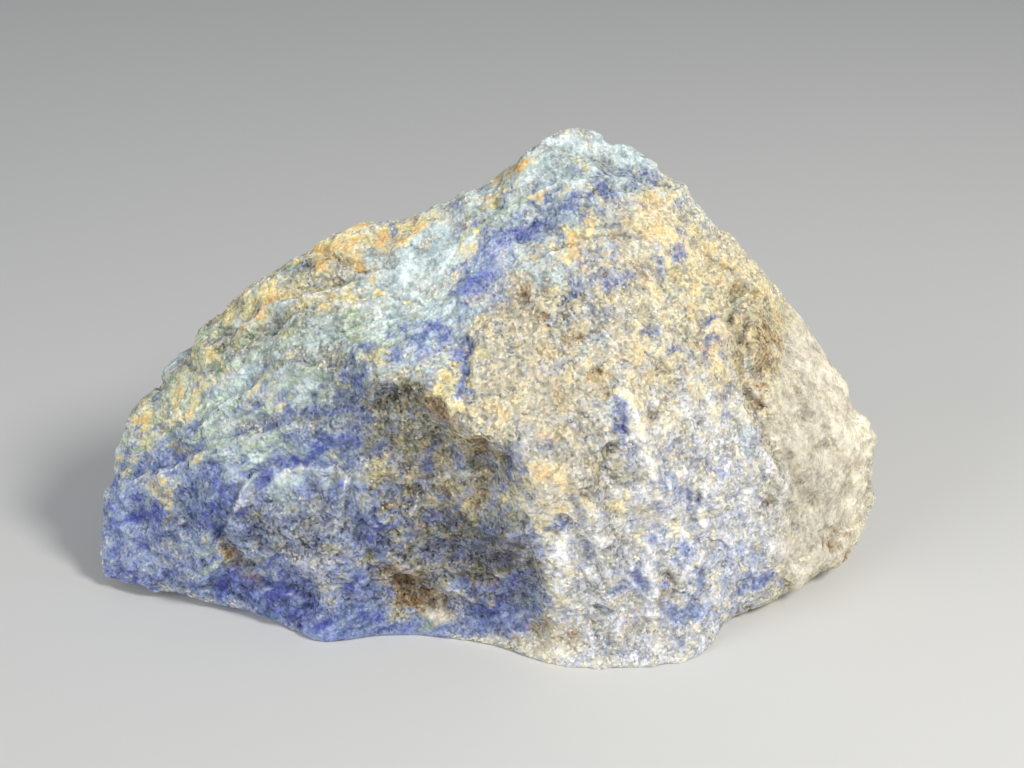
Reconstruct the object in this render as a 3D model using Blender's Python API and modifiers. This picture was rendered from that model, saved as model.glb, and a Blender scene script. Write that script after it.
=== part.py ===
"""A hand-sized broken piece of rough lapis lazuli, modelled as one solid stone.

The stone is described by its corners: the points where its fracture faces meet. They are listed
in millimetres, X to the right along the stone, Y away from the front, Z up from the surface that
it rests on. A faceted cage is stretched over them, its edges are worn a little round, and ledges,
lumps, chips and pits are worked into it. The underside is ground off flat where the stone rests.
"""

import math

import bmesh
import bpy
import numpy as np
from mathutils import Matrix, Vector, noise

MM = 0.001

# The stone's skyline, from the left tip over the shoulder and the peak to the calcite end.
SKYLINE = [
    (-49.9, -2.0, 6.6), (-48.8, -1.0, 12.2), (-46.3, -0.5, 19.5), (-43.8, 0.5, 23.9),
    (-41.8, 3.0, 24.5), (-39.9, 5.0, 27.2), (-34.9, 5.5, 31.7), (-29.2, 3.0, 38.1),
    (-22.4, 2.5, 44.8), (-16.6, 5.0, 45.5), (-11.4, 7.0, 44.6), (-9.2, 7.5, 43.4),
    (-5.9, 7.0, 46.3), (-0.8, 5.0, 49.4), (2.2, 3.5, 51.8), (4.2, 3.5, 54.8),
    (6.5, 4.0, 58.1), (9.6, 6.0, 58.6), (14.2, 7.5, 57.5), (18.6, 8.0, 55.8),
    (21.6, 7.0, 52.7), (25.4, 4.5, 50.0), (28.2, 2.0, 46.8), (30.5, 1.5, 43.7),
    (35.0, 4.0, 39.3), (39.6, 6.0, 35.5), (41.8, 6.0, 32.0), (43.8, 4.5, 28.9),
    (46.8, 2.0, 24.8), (49.5, 1.0, 19.7), (51.2, 3.5, 12.0), (51.6, 4.0, 5.5),
]

# The main ridge between the lit right face and the hollow beside it, from the top down.
RIDGE = [
    (-18.1, -10.0, 35.2), (-11.8, -13.0, 35.5), (-6.0, -16.0, 33.7), (-1.9, -18.0, 31.0),
    (2.4, -21.0, 30.4), (4.3, -22.0, 26.9), (4.8, -21.5, 21.0), (6.6, -21.5, 15.6),
    (7.4, -20.5, 9.1), (9.1, -20.0, 2.5),
]

# The broad right face, up to the peak.
RIGHT_FACE = [
    (8.7, -22.5, 27.2), (13.5, -20.5, 27.0), (18.0, -20.0, 26.7), (14.0, -21.5, 15.6),
    (23.0, -18.5, 13.6), (18.5, -20.0, 4.7), (25.9, -17.5, 5.1), (31.2, -14.0, 11.1),
    (33.8, -12.5, 20.7), (27.4, -13.0, 27.9), (18.9, -16.0, 33.5), (10.9, -18.5, 34.8),
    (2.1, -15.5, 35.7), (-1.6, -11.0, 39.8), (5.4, -11.0, 43.5), (13.3, -10.0, 43.1),
    (21.4, -8.5, 41.1), (28.4, -7.0, 37.8), (2.0, -3.0, 47.4), (10.0, -3.0, 49.9),
    (18.1, -3.0, 49.9), (24.1, -2.5, 44.4), (9.0, 2.0, 54.7), (15.9, 2.0, 54.1),
]

# The pale calcite end, which turns away to the right.
CALCITE_END = [
    (32.5, -6.0, 37.3), (33.5, -9.0, 29.1), (37.6, -11.0, 21.1), (39.5, -9.5, 10.1),
    (40.5, -4.0, 27.0), (44.4, -4.0, 17.7), (44.6, -4.0, 8.3), (49.7, 1.5, 3.9),
]

# The slope that runs back from the left face to the skyline.
TOP_SLOPE = [
    (-34.3, -2.0, 29.3), (-27.7, -3.0, 35.2), (-21.6, -2.0, 39.9), (-15.4, -6.5, 38.2),
    (-8.9, -8.0, 38.3), (-11.0, -1.0, 42.1), (-5.0, -2.5, 43.6), (-4.8, -10.5, 37.6),
    (-1.7, 0.0, 47.4),
]

# The blue left face.
LEFT_FACE = [
    (-41.0, -4.0, 21.2), (-42.8, -6.0, 12.3), (-42.3, -8.0, 5.3), (-32.8, -7.0, 24.4),
    (-25.0, -8.5, 29.4), (-31.8, -10.0, 16.4), (-32.5, -10.5, 6.5), (-21.4, -11.0, 25.4),
    (-21.7, -14.0, 16.2), (-23.8, -13.5, 5.8), (-17.4, -11.2, 31.0), (-14.3, -13.2, 23.4),
    (-18.0, -14.6, 12.7), (-14.9, -15.9, 5.2),
]

# The shaded hollow between the left face and the main ridge.
HOLLOW = [
    (-10.1, -13.0, 27.9), (-9.8, -14.0, 19.0), (-3.7, -15.0, 26.4), (-3.3, -15.0, 18.3),
    (0.9, -17.0, 23.6), (0.8, -16.0, 11.9), (-6.4, -14.5, 10.9), (-7.7, -14.5, 4.4),
    (2.9, -17.0, 6.9),
]

# The lower rim as seen from the front. Both ends are lifted clear of the surface.
LOWER_RIM = [
    (-50.2, -3.5, 2.8), (-48.6, -5.8, 1.3), (-42.4, -8.0, 1.0), (-35.8, -9.5, 1.2),
    (-27.8, -12.0, 0.2), (-21.6, -16.0, -0.5), (32.0, -14.0, 3.0), (35.8, -12.0, 5.2),
    (39.2, -10.0, 4.4), (43.6, -7.0, 3.0), (47.6, -3.0, 2.4),
]

# The outline of the patch that the stone rests on, a little below the cut.
FOOT = [
    (-20.1, -17.6, -1.0), (-14.6, -16.0, -1.0), (-10.3, -15.4, -1.0), (-5.4, -16.0, -1.0),
    (-0.5, -17.0, -1.0), (4.4, -19.2, -1.0), (7.4, -21.4, -1.0), (11.5, -23.2, -1.0),
    (20.5, -22.6, -1.0), (25.6, -21.4, -1.0), (28.5, -13.0, -1.0), (30.0, -2.0, -1.0),
    (27.0, 10.0, -1.0), (14.0, 17.0, -1.0), (-4.0, 18.0, -1.0), (-20.0, 14.0, -1.0),
    (-28.0, 5.0, -1.0), (-27.0, -6.0, -1.0), (0.0, 0.0, -1.0),
]

# The back: four broad fracture faces and the undersides of the two ends.
BACK = [
    (-42.0, 10.0, 18.0), (-44.0, 7.0, 7.5), (-31.0, 13.0, 28.0), (-33.0, 17.0, 12.0),
    (-18.0, 13.0, 38.5), (-13.0, 22.0, 20.0), (-2.0, 12.5, 42.0), (7.0, 13.0, 50.0),
    (8.0, 24.0, 26.0), (19.0, 12.0, 46.5), (26.0, 20.5, 24.0), (33.0, 12.0, 32.0),
    (41.0, 12.0, 18.0), (40.0, 12.5, 7.0), (24.0, 20.5, 5.0), (4.0, 24.0, 6.0),
    (-18.0, 20.5, 5.0), (-34.0, 13.5, 4.5), (-38.0, 1.0, 1.8), (39.0, 1.0, 2.0),
]

# The middle of the stone and its half sizes, by which directions to the corners are measured.
HEART = Vector((0.0, 0.0, 22.0))
HALF_SIZE = Vector((50.0, 24.0, 30.0))

SHARP_EDGE = math.radians(30.0)
EDGE_CREASE = 0.75
WORKING_GRAIN = 0.95
FINAL_TRIANGLES = 9300

# Ledges follow the layering: the direction across the layers, their spacing and step height.
LEFT_LAYERS = {"across": Vector((-0.45, -0.25, 0.86)), "spacing": 5.2, "height": 1.3}
RIGHT_LAYERS = {"across": Vector((0.84, -0.2, 0.5)), "spacing": 6.5, "height": 1.2}
LAYER_BORDER = 3.0
LAYER_BLEND = 6.0

# Dents and humps that stand out on the faces: centre, radius and depth. A hump's depth is negative.
DENTS = [
    ((-16.0, -13.0, 33.0), 5.5, 1.3),
    ((1.0, -18.5, 27.5), 4.0, 1.5),
    ((16.0, -21.5, 27.0), 4.2, 1.4),
    ((-8.5, -15.5, 6.0), 4.0, 1.6),
    ((-23.0, -13.5, 20.5), 4.5, 0.9),
    ((35.0, -9.0, 33.0), 4.5, 1.2),
    ((14.0, -21.0, 16.0), 3.6, 0.9),
    ((39.5, -9.0, 15.0), 4.0, 1.0),
    ((-12.0, -4.0, 42.0), 7.0, 1.2),
    ((-4.0, 22.0, 24.0), 9.0, 1.8),
    ((20.0, 20.0, 14.0), 8.0, 1.5),
    ((-30.0, 15.0, 18.0), 8.0, 1.4),
    ((8.7, -22.5, 27.0), 3.6, -1.0),
    ((21.0, -18.5, 22.0), 4.5, -0.9),
    ((-20.0, -14.5, 11.0), 5.0, -1.0),
    ((-32.0, -9.5, 18.0), 5.0, -0.8),
    ((30.0, 14.0, 30.0), 6.0, -1.2),
]

# Hackly fracture: small flat breaks, each tilted its own way.
BREAK_SIZE = 6.5
BREAK_SLOPE = 1.2

PIT_SPACING = 6.0
PIT_REACH = 0.28
PIT_DEPTH = 0.8
FOOT_FADE = 3.0

LAPIS_BLUE = (0.20, 0.24, 0.47, 1.0)


def clear_scene():
    for obj in list(bpy.data.objects):
        bpy.data.objects.remove(obj, do_unlink=True)


def direction_to(corner):
    """The way to a corner from the heart, evened out for a long, flat stone."""
    away = Vector(corner) - HEART
    return Vector((away.x / HALF_SIZE.x, away.y / HALF_SIZE.y, away.z / HALF_SIZE.z)).normalized()


def corner_cage():
    """A closed cage through every corner: a hull over the directions, pulled out to the corners."""
    corners = [
        *SKYLINE, *RIDGE, *RIGHT_FACE, *CALCITE_END, *TOP_SLOPE,
        *LEFT_FACE, *HOLLOW, *LOWER_RIM, *FOOT, *BACK,
    ]
    cage = bmesh.new()
    place_of = {}
    for corner in corners:
        vertex = cage.verts.new(direction_to(corner))
        place_of[vertex] = Vector(corner) * MM
    bmesh.ops.convex_hull(cage, input=cage.verts, use_existing_faces=False)
    for vertex, place in place_of.items():
        vertex.co = place
    bmesh.ops.recalc_face_normals(cage, faces=cage.faces)
    crease = cage.edges.layers.float.new("crease_edge")
    for edge in cage.edges:
        if edge.calc_face_angle(0.0) > SHARP_EDGE:
            edge[crease] = EDGE_CREASE
    mesh = bpy.data.meshes.new("cage")
    cage.to_mesh(mesh)
    cage.free()
    return mesh


def applied(obj):
    """Replaces the object's mesh by the mesh that its modifiers make of it."""
    graph = bpy.context.evaluated_depsgraph_get()
    mesh = bpy.data.meshes.new_from_object(obj.evaluated_get(graph))
    obj.modifiers.clear()
    obj.data = mesh


def layer_ledges(point, layers):
    """Low steps where the layers break off one after another."""
    bend = noise.fractal(point * 0.06, 0.6, 2.0, 3)
    place = point.dot(layers["across"].normalized()) / layers["spacing"] + 1.4 * bend
    share = place - math.floor(place)
    present = min(1.0, max(0.0, 0.5 + 1.2 * noise.noise(point * 0.085 + Vector((7.0, 3.0, 1.0)))))
    return layers["height"] * present * (share**2.5 - 0.3)


def lumps(point):
    """Rounded unevenness, coarse and middling."""
    coarse = noise.fractal(point * 0.075 + Vector((3.0, 9.0, 5.0)), 0.8, 2.1, 3)
    middling = noise.hetero_terrain(point * 0.24, 0.9, 2.0, 3, 0.3)
    return 0.9 * coarse + 0.32 * (middling - 0.4)


def breaks(point):
    """Small flat facets, each with its own tilt, as rock leaves where it snaps."""
    warped = point + noise.noise_vector(point * 0.2) * 1.2
    middle = noise.voronoi(warped / BREAK_SIZE)[1][0]
    tilt = noise.cell_vector(middle * 41.0) * 2.0 - Vector((1.0, 1.0, 1.0))
    return BREAK_SLOPE * tilt.dot(warped / BREAK_SIZE - middle)


def pits(point):
    """Small hollows where single crystals broke out."""
    nearest = noise.voronoi(point / PIT_SPACING)[0][0]
    return -PIT_DEPTH * max(0.0, 1.0 - nearest / PIT_REACH) ** 0.7


def dents(point):
    total = 0.0
    for centre, radius, depth in DENTS:
        share = (point - Vector(centre)).length / radius
        if share < 1.0:
            total -= depth * (1.0 - share * share) ** 2
    return total


def relief(point):
    """How far, in millimetres, the surface stands out from the worn cage at a point."""
    right = min(1.0, max(0.0, 0.5 + (point.x - LAYER_BORDER) / LAYER_BLEND))
    steps = (1.0 - right) * layer_ledges(point, LEFT_LAYERS)
    steps += right * layer_ledges(point, RIGHT_LAYERS)
    total = steps + breaks(point) + lumps(point) + pits(point) + dents(point)
    return total * min(1.0, max(0.0, point.z / FOOT_FADE))


def roughen(mesh):
    normals = [vertex.normal.copy() for vertex in mesh.vertices]
    for vertex, normal in zip(mesh.vertices, normals):
        vertex.co += normal * relief(vertex.co / MM) * MM
    mesh.update()


def grind_foot(mesh):
    """Cuts the underside off flat at the resting plane and closes the cut."""
    stone = bmesh.new()
    stone.from_mesh(mesh)
    everything = [*stone.verts, *stone.edges, *stone.faces]
    bmesh.ops.bisect_plane(
        stone, geom=everything, dist=1e-6, plane_co=(0, 0, 0), plane_no=(0, 0, -1), clear_outer=True
    )
    rim = [edge for edge in stone.edges if edge.is_boundary]
    bmesh.ops.holes_fill(stone, edges=rim)
    bmesh.ops.triangulate(stone, faces=[face for face in stone.faces if len(face.verts) > 4])
    bmesh.ops.recalc_face_normals(stone, faces=stone.faces)
    stone.to_mesh(mesh)
    stone.free()


def centre_on_origin(mesh):
    """Puts the middle of the stone's footprint over the origin."""
    places = np.empty(len(mesh.vertices) * 3)
    mesh.vertices.foreach_get("co", places)
    places = places.reshape(-1, 3)
    low = places.min(axis=0)
    middle = (low + places.max(axis=0)) / 2
    mesh.transform(Matrix.Translation((-middle[0], -middle[1], -low[2])))
    mesh.update()


def lapis_material():
    material = bpy.data.materials.new("rough_lapis")
    material.use_nodes = True
    shader = material.node_tree.nodes["Principled BSDF"]
    shader.inputs["Base Color"].default_value = LAPIS_BLUE
    shader.inputs["Roughness"].default_value = 0.75
    shader.inputs["Metallic"].default_value = 0.0
    return material


def build_stone(collection):
    stone = bpy.data.objects.new("lapis_stone", corner_cage())
    collection.objects.link(stone)

    worn = stone.modifiers.new("worn_edges", "SUBSURF")
    worn.levels = 3
    worn.render_levels = 3
    even = stone.modifiers.new("even_mesh", "REMESH")
    even.mode = "VOXEL"
    even.voxel_size = WORKING_GRAIN * MM
    applied(stone)

    roughen(stone.data)

    clean = stone.modifiers.new("clean_surface", "REMESH")
    clean.mode = "VOXEL"
    clean.voxel_size = WORKING_GRAIN * MM
    rubbed = stone.modifiers.new("rubbed", "SMOOTH")
    rubbed.factor = 0.5
    rubbed.iterations = 2
    stone.modifiers.new("triangles", "TRIANGULATE")
    applied(stone)

    fewer = stone.modifiers.new("fewer_faces", "DECIMATE")
    fewer.ratio = min(1.0, FINAL_TRIANGLES / len(stone.data.polygons))
    applied(stone)

    grind_foot(stone.data)
    centre_on_origin(stone.data)
    stone.data.materials.clear()
    stone.data.materials.append(lapis_material())
    return stone


def main():
    clear_scene()
    collection = bpy.data.collections.new("rough_lapis_lazuli")
    bpy.context.scene.collection.children.link(collection)
    build_stone(collection)


main()
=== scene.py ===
"""A rough piece of lapis lazuli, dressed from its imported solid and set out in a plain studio.

The stone's surface is remade finer from the solid. Ledges, chips and crystal grain are worked into
it with Geometry Nodes, and the amounts of its minerals are spread over it as point attributes:
blue lazurite, powdery pale, green and white crusts, cream, ochre and brown iron stain, calcite, and
the dark grains of the hollow. One material mixes those minerals grain by grain.
"""

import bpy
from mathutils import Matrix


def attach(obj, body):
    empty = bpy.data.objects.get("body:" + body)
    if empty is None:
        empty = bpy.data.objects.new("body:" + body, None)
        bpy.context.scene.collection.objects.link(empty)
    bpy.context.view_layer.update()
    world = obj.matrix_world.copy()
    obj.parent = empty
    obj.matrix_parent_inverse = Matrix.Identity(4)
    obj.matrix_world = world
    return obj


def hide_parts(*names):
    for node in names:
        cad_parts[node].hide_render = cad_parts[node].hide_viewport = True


bl_info = {
    "name": "Rough lapis lazuli",
    "version": (1, 0, 0),
    "blender": (4, 5, 0),
    "location": "3D View > Sidebar > Lapis",
    "description": "Builds a rough lapis lazuli stone with its minerals, grain and studio",
    "category": "Object",
}

import math
from collections import namedtuple

import bmesh
import bpy
import numpy as np
from mathutils import Vector, noise

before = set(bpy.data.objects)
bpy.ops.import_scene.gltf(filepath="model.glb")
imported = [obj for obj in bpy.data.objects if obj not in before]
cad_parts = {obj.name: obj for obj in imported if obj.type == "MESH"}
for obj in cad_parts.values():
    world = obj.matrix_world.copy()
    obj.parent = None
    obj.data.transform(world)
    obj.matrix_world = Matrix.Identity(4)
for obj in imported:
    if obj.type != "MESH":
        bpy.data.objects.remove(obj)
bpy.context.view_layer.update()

MM = 0.001
STONE_NODE = "lapis_stone"

# The camera, and the size that the picture is taken to have.
PICTURE_WIDTH = 1024
PICTURE_HEIGHT = 768
SENSOR_WIDTH = 36.0
LENS = 60.0
FOCAL_DOTS = LENS / SENSOR_WIDTH * PICTURE_WIDTH
CAMERA_ELEVATION = math.radians(28.0)
CAMERA_DISTANCE = 210.9
CAMERA_TARGET = (2.8, 0.0, 26.75)
# Millimetres of the stone that one dot of the picture shows, at the middle of the stone.
DOT_SIZE = CAMERA_DISTANCE / FOCAL_DOTS

# Where each mineral lies on the side that the camera sees. A patch is: picture column and row of
# its middle, half width, half height, turn in degrees (clockwise), and the amount at its middle in
# percent. Each list runs from left to right.
PATCHES = {
    "lazurite": [
        (112, 520, 18, 50, 0, 34), (118, 490, 12, 12, 0, 46), (130, 530, 44, 44, 0, 50),
        (130, 545, 45, 40, 0, 24), (150, 508, 40, 14, 10, 56), (165, 462, 50, 14, -8, 50),
        (170, 582, 60, 10, 8, 50), (173, 358, 14, 10, -35, 40), (180, 560, 80, 26, 5, 20),
        (190, 432, 16, 10, 0, 36), (214, 505, 26, 22, 0, 82), (235, 538, 26, 14, 20, 48),
        (236, 466, 44, 9, -12, 56), (236, 580, 24, 13, 10, 90), (240, 500, 190, 120, 0, 50),
        (245, 600, 44, 16, 14, 80), (250, 400, 30, 8, -20, 30), (250, 490, 30, 8, 0, 50),
        (270, 292, 10, 10, 0, 14), (272, 574, 18, 8, 0, 56), (272, 596, 42, 18, 15, 92),
        (300, 412, 24, 8, -10, 40), (300, 440, 110, 60, 0, 20), (307, 265, 24, 9, -15, 40),
        (315, 532, 30, 14, 0, 36), (320, 446, 34, 12, -20, 76), (322, 620, 42, 16, 10, 72),
        (322, 624, 14, 8, 0, 46), (334, 418, 22, 12, -25, 80), (334, 498, 7, 14, 0, 80),
        (340, 448, 14, 14, 0, 50), (344, 402, 9, 14, 0, 80), (345, 636, 40, 8, 0, 70),
        (357, 350, 14, 16, 0, 54), (358, 378, 14, 18, 0, 92), (360, 582, 12, 10, 0, 56),
        (365, 606, 18, 26, 0, 78), (372, 526, 13, 12, 0, 97), (387, 334, 18, 9, -10, 62),
        (392, 232, 14, 8, 0, 40), (395, 607, 8, 8, 0, 26), (405, 626, 24, 9, 0, 78),
        (414, 352, 26, 9, -15, 60), (418, 478, 8, 8, 15, 66), (420, 330, 30, 8, -10, 40),
        (430, 338, 16, 8, 0, 70), (430, 460, 7, 12, 15, 80), (430, 520, 100, 90, 0, 20),
        (438, 512, 7, 14, -35, 76), (440, 350, 14, 12, 0, 36), (445, 332, 26, 9, -10, 50),
        (445, 344, 14, 8, 0, 50), (462, 578, 8, 12, 0, 74), (466, 362, 6, 16, 5, 95),
        (467, 304, 9, 12, -10, 66), (468, 387, 6, 12, 0, 95), (468, 630, 36, 9, 5, 66),
        (470, 540, 30, 14, 15, 40), (473, 286, 13, 15, -30, 76), (474, 308, 10, 12, 0, 30),
        (481, 267, 19, 17, -40, 80), (482, 288, 14, 26, -35, 50), (492, 268, 14, 16, 0, 24),
        (494, 249, 21, 17, -40, 66), (500, 532, 26, 9, 10, 46), (500, 615, 28, 17, 10, 95),
        (512, 466, 6, 13, -25, 86), (516, 230, 28, 16, -25, 50), (522, 612, 16, 8, 10, 44),
        (524, 590, 20, 12, 25, 88), (530, 410, 10, 12, 0, 24), (540, 214, 40, 16, -10, 36),
        (548, 440, 5, 8, 0, 66), (550, 187, 16, 6, -10, 50), (555, 528, 6, 6, -20, 95),
        (560, 200, 110, 60, 0, 28), (560, 226, 18, 9, -15, 36), (572, 240, 14, 16, 0, 20),
        (575, 205, 30, 12, -10, 34), (575, 555, 8, 22, 0, 50), (577, 292, 8, 9, 0, 66),
        (588, 254, 20, 14, -20, 28), (597, 343, 10, 7, -20, 62), (600, 410, 9, 12, 0, 52),
        (606, 282, 20, 26, 0, 46), (608, 434, 14, 8, 0, 56), (612, 190, 30, 12, -5, 30),
        (618, 200, 30, 16, 0, 40), (620, 172, 26, 8, 8, 36), (620, 420, 8, 14, -20, 70),
        (621, 410, 7, 13, -22, 98), (625, 424, 6, 8, 0, 95), (631, 582, 10, 14, 0, 84),
        (632, 448, 9, 18, -10, 52), (634, 346, 6, 9, 0, 60), (640, 176, 12, 7, 15, 50),
        (640, 470, 170, 200, 0, 24), (645, 334, 5, 5, 0, 92), (649, 526, 9, 10, 0, 66),
        (653, 328, 4, 5, 0, 86), (660, 262, 12, 10, 0, 20), (673, 345, 6, 5, -30, 95),
        (674, 487, 22, 14, 30, 56), (678, 253, 7, 10, -15, 84), (685, 555, 7, 9, 0, 74),
        (685, 614, 18, 12, 0, 60), (690, 456, 20, 10, 25, 50), (700, 580, 60, 60, 0, 30),
        (700, 608, 16, 12, 0, 16), (707, 321, 9, 5, -40, 98), (707, 347, 11, 7, 0, 66),
        (710, 360, 10, 16, 0, 36), (723, 350, 9, 14, 0, 44), (725, 476, 9, 8, 0, 60),
        (733, 410, 10, 16, 0, 40), (735, 558, 24, 14, -20, 12), (750, 440, 9, 18, -25, 44),
        (754, 573, 18, 10, -30, 50), (765, 584, 6, 6, 0, 98), (783, 582, 10, 3, 8, 92),
    ],
    # Deep blue grains, and painted shade along the lower edge and the bottom of the hollow, where the
    # faces turn down from the light.
    "deep_blue": [
        (130, 590, 50, 16, 10, 20), (214, 506, 22, 16, 0, 44), (236, 582, 26, 13, 12, 72),
        (276, 598, 44, 20, 16, 74), (300, 560, 80, 40, 10, 18), (300, 615, 20, 16, 30, 50),
        (322, 616, 20, 8, 10, 34), (325, 446, 26, 8, -20, 34), (350, 640, 30, 6, 0, 40),
        (358, 378, 10, 14, 0, 40), (365, 602, 14, 20, 0, 34), (372, 526, 12, 10, 0, 70),
        (405, 630, 24, 8, 0, 34), (430, 462, 6, 11, 15, 56), (430, 530, 70, 40, 0, 26),
        (438, 512, 6, 12, -35, 50), (465, 362, 5, 12, 10, 56), (480, 560, 50, 40, 20, 34),
        (486, 269, 12, 10, -35, 16), (500, 600, 28, 30, 30, 55), (512, 468, 6, 14, -25, 60),
        (520, 560, 20, 26, 0, 40), (555, 528, 6, 6, -20, 80), (621, 406, 5, 10, -22, 40),
        (631, 584, 7, 10, 0, 40), (645, 333, 6, 6, 0, 50), (673, 345, 7, 5, -30, 70),
        (678, 253, 7, 9, -15, 36), (707, 321, 9, 5, -40, 90), (765, 584, 6, 6, 0, 90),
        (784, 582, 10, 3, 8, 50),
    ],
    "pale_crust": [
        (120, 450, 14, 20, 0, 50), (170, 490, 50, 20, 0, 30), (172, 360, 16, 12, -35, 70),
        (220, 425, 26, 12, 0, 66), (225, 330, 22, 7, -35, 36), (240, 384, 28, 12, -20, 74),
        (240, 446, 40, 10, -5, 42), (270, 340, 20, 16, -20, 50), (275, 470, 40, 8, 0, 50),
        (280, 482, 26, 10, 0, 46), (300, 395, 36, 16, -10, 50), (310, 350, 140, 90, -35, 34),
        (310, 480, 20, 16, 0, 40), (324, 336, 26, 12, -20, 60), (345, 488, 6, 16, 0, 30),
        (385, 278, 24, 12, -10, 80), (400, 318, 56, 14, -10, 52), (420, 264, 40, 20, 0, 96),
        (440, 296, 18, 18, 0, 66), (440, 330, 18, 12, -10, 66), (445, 252, 22, 14, -20, 82),
        (446, 214, 26, 9, -25, 56), (455, 582, 12, 10, 0, 60), (500, 186, 22, 10, -30, 56),
        (524, 610, 12, 8, 0, 36), (530, 258, 20, 16, -20, 62), (560, 176, 40, 9, -5, 50),
        (560, 180, 110, 60, 0, 52), (560, 272, 30, 12, -20, 66), (575, 145, 54, 12, 0, 76),
        (597, 343, 12, 9, -20, 40), (600, 440, 12, 8, 0, 50), (620, 150, 28, 10, 15, 66),
        (640, 190, 20, 10, 20, 40), (700, 290, 12, 8, 0, 20), (745, 430, 12, 26, -20, 60),
    ],
    "green_crust": [
        (110, 470, 10, 20, 0, 30), (118, 488, 16, 24, 0, 50), (130, 440, 20, 20, 0, 40),
        (170, 385, 30, 26, -40, 40), (190, 405, 30, 30, 0, 30), (195, 430, 60, 26, 0, 50),
        (200, 560, 60, 20, 0, 24), (210, 330, 40, 20, -40, 34), (220, 385, 64, 46, -30, 50),
        (225, 560, 24, 10, 20, 40), (245, 338, 40, 16, -30, 40), (250, 565, 20, 10, 20, 40),
        (270, 430, 50, 20, 0, 30), (270, 448, 40, 14, 0, 40), (270, 470, 50, 20, 0, 30),
        (300, 350, 60, 36, -20, 44), (310, 505, 50, 14, 0, 24), (310, 616, 14, 10, 0, 24),
        (320, 620, 20, 6, 0, 30), (322, 262, 40, 16, -10, 34), (330, 400, 36, 24, 0, 36),
        (350, 326, 50, 16, -10, 40), (360, 352, 20, 20, 0, 44), (395, 345, 40, 18, 0, 36),
        (400, 335, 50, 14, 0, 30), (430, 490, 80, 70, 0, 26), (430, 622, 14, 8, 0, 30),
        (450, 380, 24, 14, 0, 30), (500, 220, 30, 14, -20, 50), (500, 592, 20, 12, 0, 30),
        (508, 214, 14, 12, 0, 50), (530, 600, 16, 20, 0, 40), (560, 180, 40, 14, 0, 34),
        (590, 228, 24, 16, 0, 40), (605, 395, 16, 18, -15, 50), (660, 310, 40, 24, 0, 24),
        (700, 340, 60, 60, 0, 20), (740, 300, 30, 26, 30, 44), (822, 512, 14, 24, 0, 44),
    ],
    "bloom": [
        (125, 560, 30, 26, 0, 36), (130, 500, 20, 3, 10, 50), (180, 470, 40, 3, -10, 50),
        (240, 508, 26, 3, -40, 80), (290, 540, 80, 46, 10, 36), (300, 470, 34, 3, 3, 70),
        (320, 520, 50, 18, 5, 40), (328, 487, 3, 14, 0, 70), (420, 550, 30, 14, 0, 20),
        (455, 560, 40, 10, 15, 26), (482, 270, 20, 16, -40, 30), (500, 246, 26, 18, -40, 36),
        (560, 215, 50, 16, 0, 20), (560, 370, 60, 50, 0, 30), (566, 560, 6, 40, 5, 84),
        (590, 540, 24, 50, 0, 30), (600, 300, 40, 50, 0, 36), (600, 560, 4, 40, -6, 60),
        (600, 610, 40, 50, 0, 44), (636, 436, 6, 26, -18, 90), (648, 462, 6, 22, -14, 90),
        (650, 560, 150, 110, 0, 40), (650, 580, 4, 30, 0, 60), (660, 470, 120, 80, 20, 34),
        (680, 330, 70, 60, 0, 22), (690, 560, 4, 30, -10, 50), (690, 640, 50, 20, 0, 46),
        (700, 430, 40, 60, -20, 36), (714, 432, 4, 34, -20, 80), (748, 424, 5, 24, -22, 90),
        (764, 456, 5, 22, -32, 95), (770, 520, 26, 50, -20, 50), (782, 480, 5, 16, -34, 90),
    ],
    "cream": [
        (448, 400, 16, 16, 0, 40), (480, 400, 20, 24, 0, 36), (496, 428, 10, 12, 0, 50),
        (510, 300, 34, 20, -20, 30), (510, 590, 24, 20, 0, 24), (520, 330, 40, 24, 0, 40),
        (520, 395, 34, 28, 0, 56), (525, 262, 20, 12, -20, 30), (545, 610, 16, 40, 0, 40),
        (548, 500, 20, 16, 0, 50), (555, 470, 26, 30, 0, 80), (560, 250, 24, 20, 0, 30),
        (560, 410, 40, 30, 10, 50), (590, 352, 60, 24, 0, 40), (600, 258, 30, 18, -20, 40),
        (600, 375, 24, 10, 0, 56), (632, 220, 20, 20, 0, 66), (640, 320, 130, 110, 0, 46),
        (653, 392, 16, 12, 0, 50), (655, 208, 24, 22, 0, 80), (660, 470, 120, 100, 0, 30),
        (660, 600, 100, 50, 0, 18), (662, 226, 16, 24, -10, 80), (690, 282, 20, 20, 0, 60),
        (700, 240, 16, 14, 35, 44), (712, 266, 26, 18, 30, 70), (720, 350, 40, 20, 20, 30),
        (722, 310, 16, 24, 0, 50), (740, 330, 44, 70, 15, 50), (763, 300, 26, 20, 35, 60),
        (765, 380, 24, 40, 10, 40), (825, 450, 44, 110, 0, 30), (845, 450, 12, 50, -8, 30),
    ],
    "ochre": [
        (120, 470, 10, 24, 0, 30), (122, 462, 10, 12, 0, 50), (142, 422, 10, 14, -30, 50),
        (150, 425, 12, 14, -40, 60), (160, 485, 14, 8, 0, 44), (168, 500, 8, 14, -20, 66),
        (175, 520, 6, 8, -30, 60), (180, 400, 60, 22, -42, 42), (180, 408, 24, 24, 0, 34),
        (180, 414, 12, 14, 0, 60), (183, 396, 15, 10, -35, 66), (196, 456, 10, 8, 0, 56),
        (203, 360, 7, 6, -35, 90), (216, 328, 26, 10, -40, 34), (230, 315, 34, 12, -35, 60),
        (230, 348, 14, 8, -35, 52), (237, 424, 16, 8, 0, 46), (241, 328, 13, 6, -25, 100),
        (257, 313, 11, 6, -40, 100), (257, 389, 22, 4, -22, 74), (262, 570, 12, 8, 0, 40),
        (270, 300, 30, 5, -30, 62), (276, 400, 16, 16, 0, 34), (287, 362, 16, 5, -30, 66),
        (300, 290, 130, 26, -33, 42), (300, 474, 12, 4, -5, 66), (310, 246, 26, 6, -12, 80),
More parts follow.
